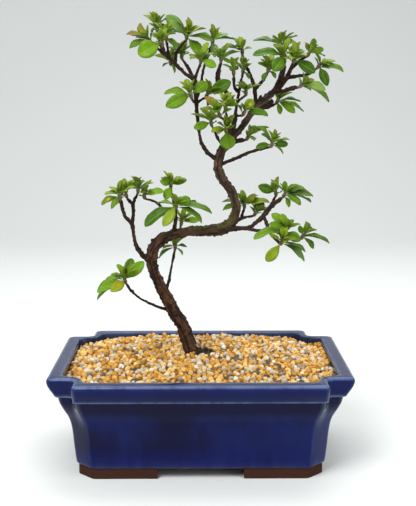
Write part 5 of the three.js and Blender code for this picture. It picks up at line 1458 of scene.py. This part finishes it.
def shoot_tree():
    tree, nodes, start, end, known = new_tree("leafy_shoot", {
        "Stations": "NodeSocketInt", "Columns": "NodeSocketInt", "Skew": "NodeSocketFloat",
        "Fullness": "NodeSocketFloat", "Arch": "NodeSocketFloat", "Fold": "NodeSocketFloat",
        "Thickness": "NodeSocketFloat", "Weld": "NodeSocketFloat",
        "Leaf": "NodeSocketMaterial", "Stem": "NodeSocketMaterial"})
    split = nodes.add("GeometryNodeSeparateGeometry", {
        0: start["Geometry"], 1: named(nodes, "is_core")}, domain="POINT")
    roots = split.outputs["Inverted"]
    sheet = nodes.add("GeometryNodeMeshGrid", {
        "Size X": 2.0, "Size Y": 1.0, "Vertices X": start["Columns"],
        "Vertices Y": start["Stations"]}).outputs[0]
    grid_x, grid_y, _ = nodes.parts(nodes.add("GeometryNodeInputPosition").outputs[0])
    swing = nodes.calc("COSINE", nodes.times(nodes.plus(grid_y, 0.5), math.pi))
    t = nodes.spread(swing, -0.5, 0.5)
    faces = []
    for lower in (0.0, 1.0):
        marked = nodes.add("GeometryNodeStoreNamedAttribute", {
            "Geometry": sheet, "Name": "blade", "Value": nodes.joined(grid_x, t, lower)},
            data_type="FLOAT_VECTOR", domain="POINT").outputs[0]
        if lower:
            marked = nodes.add("GeometryNodeFlipFaces", {0: marked}).outputs[0]
        faces.append(marked)
    pair = nodes.add("GeometryNodeJoinGeometry")
    for face in reversed(faces):
        nodes.feed(pair.inputs[0], face)
    placed = nodes.add("GeometryNodeInstanceOnPoints", {
        "Points": roots, "Instance": pair.outputs[0]})
    blades = nodes.add("GeometryNodeRealizeInstances", {0: placed.outputs[0]}).outputs[0]

    across, t, lower = nodes.parts(named(nodes, "blade", "FLOAT_VECTOR"))
    length, breadth, phase = nodes.parts(named(nodes, "leaf_size", "FLOAT_VECTOR"))
    run = named(nodes, "run", "FLOAT_VECTOR")
    face = named(nodes, "face", "FLOAT_VECTOR")
    swell = nodes.calc("SINE", nodes.times(nodes.calc("POWER", t, start["Skew"]), math.pi))
    full = nodes.calc("POWER", nodes.calc("MAXIMUM", swell, 0.0), start["Fullness"])
    half = nodes.times(breadth, 0.5, nodes.times(full, nodes.ramp(t, *SHOWN_TAPER)))
    wide = nodes.calc("ABSOLUTE", across)
    rise = nodes.times(t, nodes.minus(1.0, t))
    lift = nodes.times(rise, 4.0, nodes.times(start["Arch"], length))
    fold = nodes.times(wide, half, nodes.times(start["Fold"], 2.0))
    wave_place = nodes.times(nodes.plus(nodes.times(t, WAVES_A_LEAF), phase), 2 * math.pi)
    wave = nodes.times(nodes.calc("SINE", nodes.plus(wave_place, across)),
                       nodes.times(wide, half, WAVE_SHARE))
    droop = nodes.times(nodes.calc("POWER", t, 3.0),
                        nodes.times(length, nodes.spread(phase, *DROOP)))
    body = nodes.minus(1.0, nodes.times(across, across))
    under = nodes.times(lower, start["Thickness"],
                        nodes.times(body, nodes.calc("POWER", swell, 0.5)))
    above = nodes.minus(nodes.plus(nodes.plus(lift, fold), nodes.plus(wave, droop)), under)
    spot = named(nodes, "base", "FLOAT_VECTOR")
    for way, step in ((run, nodes.times(t, length)),
                      (nodes.vector("CROSS_PRODUCT", run, face), nodes.times(across, half)),
                      (face, above)):
        spot = nodes.vector("ADD", spot, nodes.scaled(way, step))
    shaped = nodes.add("GeometryNodeSetPosition", {"Geometry": blades, "Position": spot}).outputs[0]
    closed = nodes.add("GeometryNodeMergeByDistance", {
        "Geometry": shaped, "Distance": start["Weld"]}).outputs[0]

    stem = nodes.add("GeometryNodeMeshToCurve", {0: split.outputs["Selection"]}).outputs[0]
    whole = nodes.add("GeometryNodeJoinGeometry")
    nodes.feed(whole.inputs[0], tubes_along(nodes, given_radii(nodes, stem), SHOOT_SIDES))
    nodes.feed(whole.inputs[0], closed)
    real = nodes.add("GeometryNodeRealizeInstances", {0: whole.outputs[0]}).outputs[0]
    green = coated(nodes, real, start["Leaf"])
    nodes.feed(end, coated(nodes, green, start["Stem"], named(nodes, "is_core")))
    return tree, known


def shoot_core(shoot):
    """The shoot's own stem: neck, swelling and rounded top, with radii."""
    neck = shoot["end"] + shoot["forward"] * SHOOT_NECK
    rows = [(shoot["end"] + shoot["forward"] * step, radius) for step, radius in SHOOT_NECK_ROWS]
    rows += [(neck + shoot["axis"] * step, radius) for step, radius in SHOOT_ROWS]
    return zip(*rows)


def make_shoots(leaf_green, stem_brown):
    tree, known = shoot_tree()
    for order, shoot in enumerate(place_leaves(stem_places())):
        random = seeded(order + TONE_SEED)
        core, radii = shoot_core(shoot)
        leaves = shoot["leaves"]
        places = [*core, *(leaf["base"] for leaf in leaves)]
        piece = link(f"foliage_{shoot['name']}", [tuple(place * MM) for place in places], [],
                     [(i, i + 1) for i in range(len(core) - 1)])
        tones = [(random(), random(), leaf["kind"][3]) for leaf in leaves]
        set_values(piece.data, "is_core", [1.0] * len(core) + [0.0] * len(leaves))
        set_values(piece.data, "thickness", [radius * MM for radius in radii] + [0.0] * len(leaves))
        for name, values in {
                "base": [leaf["base"] * MM for leaf in leaves],
                "run": [leaf["run"] for leaf in leaves],
                "face": [leaf["face"] for leaf in leaves],
                "leaf_size": [(leaf["length"] * MM, leaf["breadth"] * MM, tone[1])
                              for leaf, tone in zip(leaves, tones)],
                "ageing": [leaf["kind"][:3] for leaf in leaves],
                "tone": tones}.items():
            set_values(piece.data, name, [(0.0, 0.0, 0.0)] * len(core) + values)
        run_tree(piece, tree, known, {
            "Stations": BLADE_STATIONS, "Columns": BLADE_COLUMNS, "Skew": SHOWN_SKEW,
            "Fullness": SHOWN_FULLNESS, "Arch": LEAF_ARCH, "Fold": LEAF_FOLD,
            "Thickness": BLADE_THICKNESS * MM, "Weld": LEAF_WELD * MM,
            "Leaf": leaf_green, "Stem": stem_brown})
        finish_piece(piece, [f"leaves_{shoot['name']}"])


def make_leaf_material():
    """Half-glossy green with a pale midrib, sunken side veins, lighter margins and brown age."""
    material, nodes, shader = new_material("azalea_leaf")
    across, t, lower = nodes.parts(attribute(nodes, "blade").outputs["Vector"])
    tint, _, spot = nodes.parts(attribute(nodes, "tone").outputs["Vector"])
    yellow, brown, grey = nodes.parts(attribute(nodes, "ageing").outputs["Vector"])
    wide = nodes.calc("ABSOLUTE", across)
    mottle = nodes.noise(object_place(nodes), REPEATS["leaf_mottle"], 4.0, 0.6)
    tone = nodes.plus(nodes.times(tint, 0.75), nodes.spread(mottle, 0.7, -0.25))
    colour = nodes.mix(tone, *LEAF_GREENS)
    colour = nodes.mix(nodes.ramp(wide, 0.72, 1.0, 0.0, 0.4), colour, LEAF_MARGIN)
    yellowed = nodes.times(yellow, nodes.ramp(mottle, 0.2, 0.7, 0.7, 1.0))
    colour = nodes.mix(yellowed, colour, LEAF_YELLOW)
    colour = nodes.mix(grey, colour, LEAF_GREY)
    midrib = nodes.ramp(wide, 0.11, 0.03)
    slant = nodes.minus(nodes.times(t, 7.0), nodes.times(wide, 1.5))
    from_vein = nodes.calc("ABSOLUTE", nodes.minus(nodes.calc("FRACT", slant), 0.5))
    veins = nodes.times(nodes.ramp(from_vein, 0.12, 0.02), nodes.ramp(wide, 1.0, 0.6))
    colour = nodes.mix(nodes.times(midrib, 0.45), colour, LEAF_MIDRIB)
    colour = nodes.mix(nodes.times(veins, 0.22), colour, LEAF_VEIN)
    dryness = nodes.plus(nodes.times(mottle, 0.7), nodes.times(t, 0.6))
    withered = nodes.times(brown, nodes.ramp(dryness, 0.45, 0.95))
    colour = nodes.mix(withered, colour, LEAF_WITHERED)
    along = nodes.minus(t, spot)
    off = nodes.minus(across, 0.15)
    far = nodes.calc("SQRT", nodes.plus(nodes.times(along, along, 5.0), nodes.times(off, off, 0.8)))
    far = nodes.plus(far, nodes.times(mottle, 0.3))
    spotted = nodes.times(nodes.ramp(far, 0.46, 0.28), nodes.calc("GREATER_THAN", spot, 0.1))
    colour = nodes.mix(spotted, colour, LEAF_SPOT)
    under = nodes.mix(0.45, colour, LEAF_UNDERSIDE)
    colour = nodes.mix(nodes.times(lower, 0.9), colour, under)
    gloss = nodes.plus(nodes.spread(mottle, 0.2, 0.26), nodes.times(lower, 0.25))
    height = nodes.minus(nodes.times(mottle, 0.5), nodes.times(veins, 0.7))
    finish_material(nodes, shader, colour, nodes.plus(gloss, nodes.times(brown, 0.2)),
                    (nodes.minus(height, midrib), RELIEF["leaf"], 0.7), specular=0.2)
    shader.inputs["IOR"].default_value = LEAF_IOR
    return material


def make_stem_material():
    """Young wood of a shoot, brown and scaly."""
    material, nodes, shader = new_material("young_stem")
    place = object_place(nodes)
    scales = nodes.cells(nodes.vector("MULTIPLY", place, (1.0, 1.0, 0.6)),
                         REPEATS["stem_scales"])
    streaks = nodes.noise(place, REPEATS["stem_streaks"], 4.0, 0.6)
    tone = nodes.ramp(nodes.plus(scales, nodes.times(streaks, 0.6)), 0.35, 0.95)
    finish_material(nodes, shader, nodes.mix(tone, *YOUNG_STEM),
                    nodes.spread(streaks, 0.3, 0.45),
                    (nodes.plus(scales, streaks), RELIEF["stem"], 0.8))
    return material


# Camera, backdrop and lights

def make_camera():
    lens = bpy.data.cameras.new("front_camera")
    lens.lens = EYE_LENS
    lens.sensor_width = EYE_SENSOR
    camera = bpy.data.objects.new("front_camera", lens)
    camera.location = EYE
    camera.rotation_euler = (EYE_TILT, 0.0, EYE_TURN)
    bpy.context.scene.collection.objects.link(camera)
    bpy.context.scene.camera = camera


def make_backdrop():
    profile = [(FLOOR_FRONT, 0.0)]
    for step in range(SWEEP_STEPS + 1):
        turn = math.pi / 2 * step / SWEEP_STEPS
        profile.append((FLOOR_BACK + SWEEP_RADIUS * math.sin(turn),
                        SWEEP_RADIUS * (1 - math.cos(turn))))
    profile.append((FLOOR_BACK + SWEEP_RADIUS, WALL_TOP))
    half = FLOOR_WIDTH / 2
    vertices = [(side, y, z) for y, z in profile for side in (-half, half)]
    faces = [(2 * i, 2 * i + 1, 2 * i + 3, 2 * i + 2) for i in range(len(profile) - 1)]
    backdrop = link("backdrop", vertices, faces)
    backdrop.data.shade_smooth()
    material, _, shader = new_material("pale_paper")
    shader.inputs["Base Color"].default_value = PAPER
    shader.inputs["Roughness"].default_value = PAPER_ROUGHNESS
    backdrop.data.materials.append(material)


def make_lights():
    for name, light in LIGHTS.items():
        lamp = bpy.data.lights.new(name, "AREA")
        lamp.shape = "SQUARE"
        lamp.size = light["size"]
        lamp.energy = light["watts"]
        holder = bpy.data.objects.new(name, lamp)
        holder.location = light["at"]
        aim = MIDDLE - Vector(light["at"])
        holder.rotation_euler = aim.to_track_quat("-Z", "Y").to_euler()
        bpy.context.scene.collection.objects.link(holder)
    world = bpy.data.worlds.new("studio")
    world.use_nodes = True
    air = world.node_tree.nodes["Background"]
    air.inputs["Color"].default_value = AIR
    air.inputs["Strength"].default_value = AIR_STRENGTH
    bpy.context.scene.world = world
    bpy.context.scene.view_settings.view_transform = "Standard"


make_camera()
make_backdrop()
make_lights()
make_pot(make_glaze())
netting = make_netting()
for screen in ("drain_screen_left", "drain_screen_right"):
    dress(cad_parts[screen], netting)
make_grains()
dress(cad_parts["soil"], make_bed_material())
make_wood(make_bark())
make_shoots(make_leaf_material(), make_stem_material())
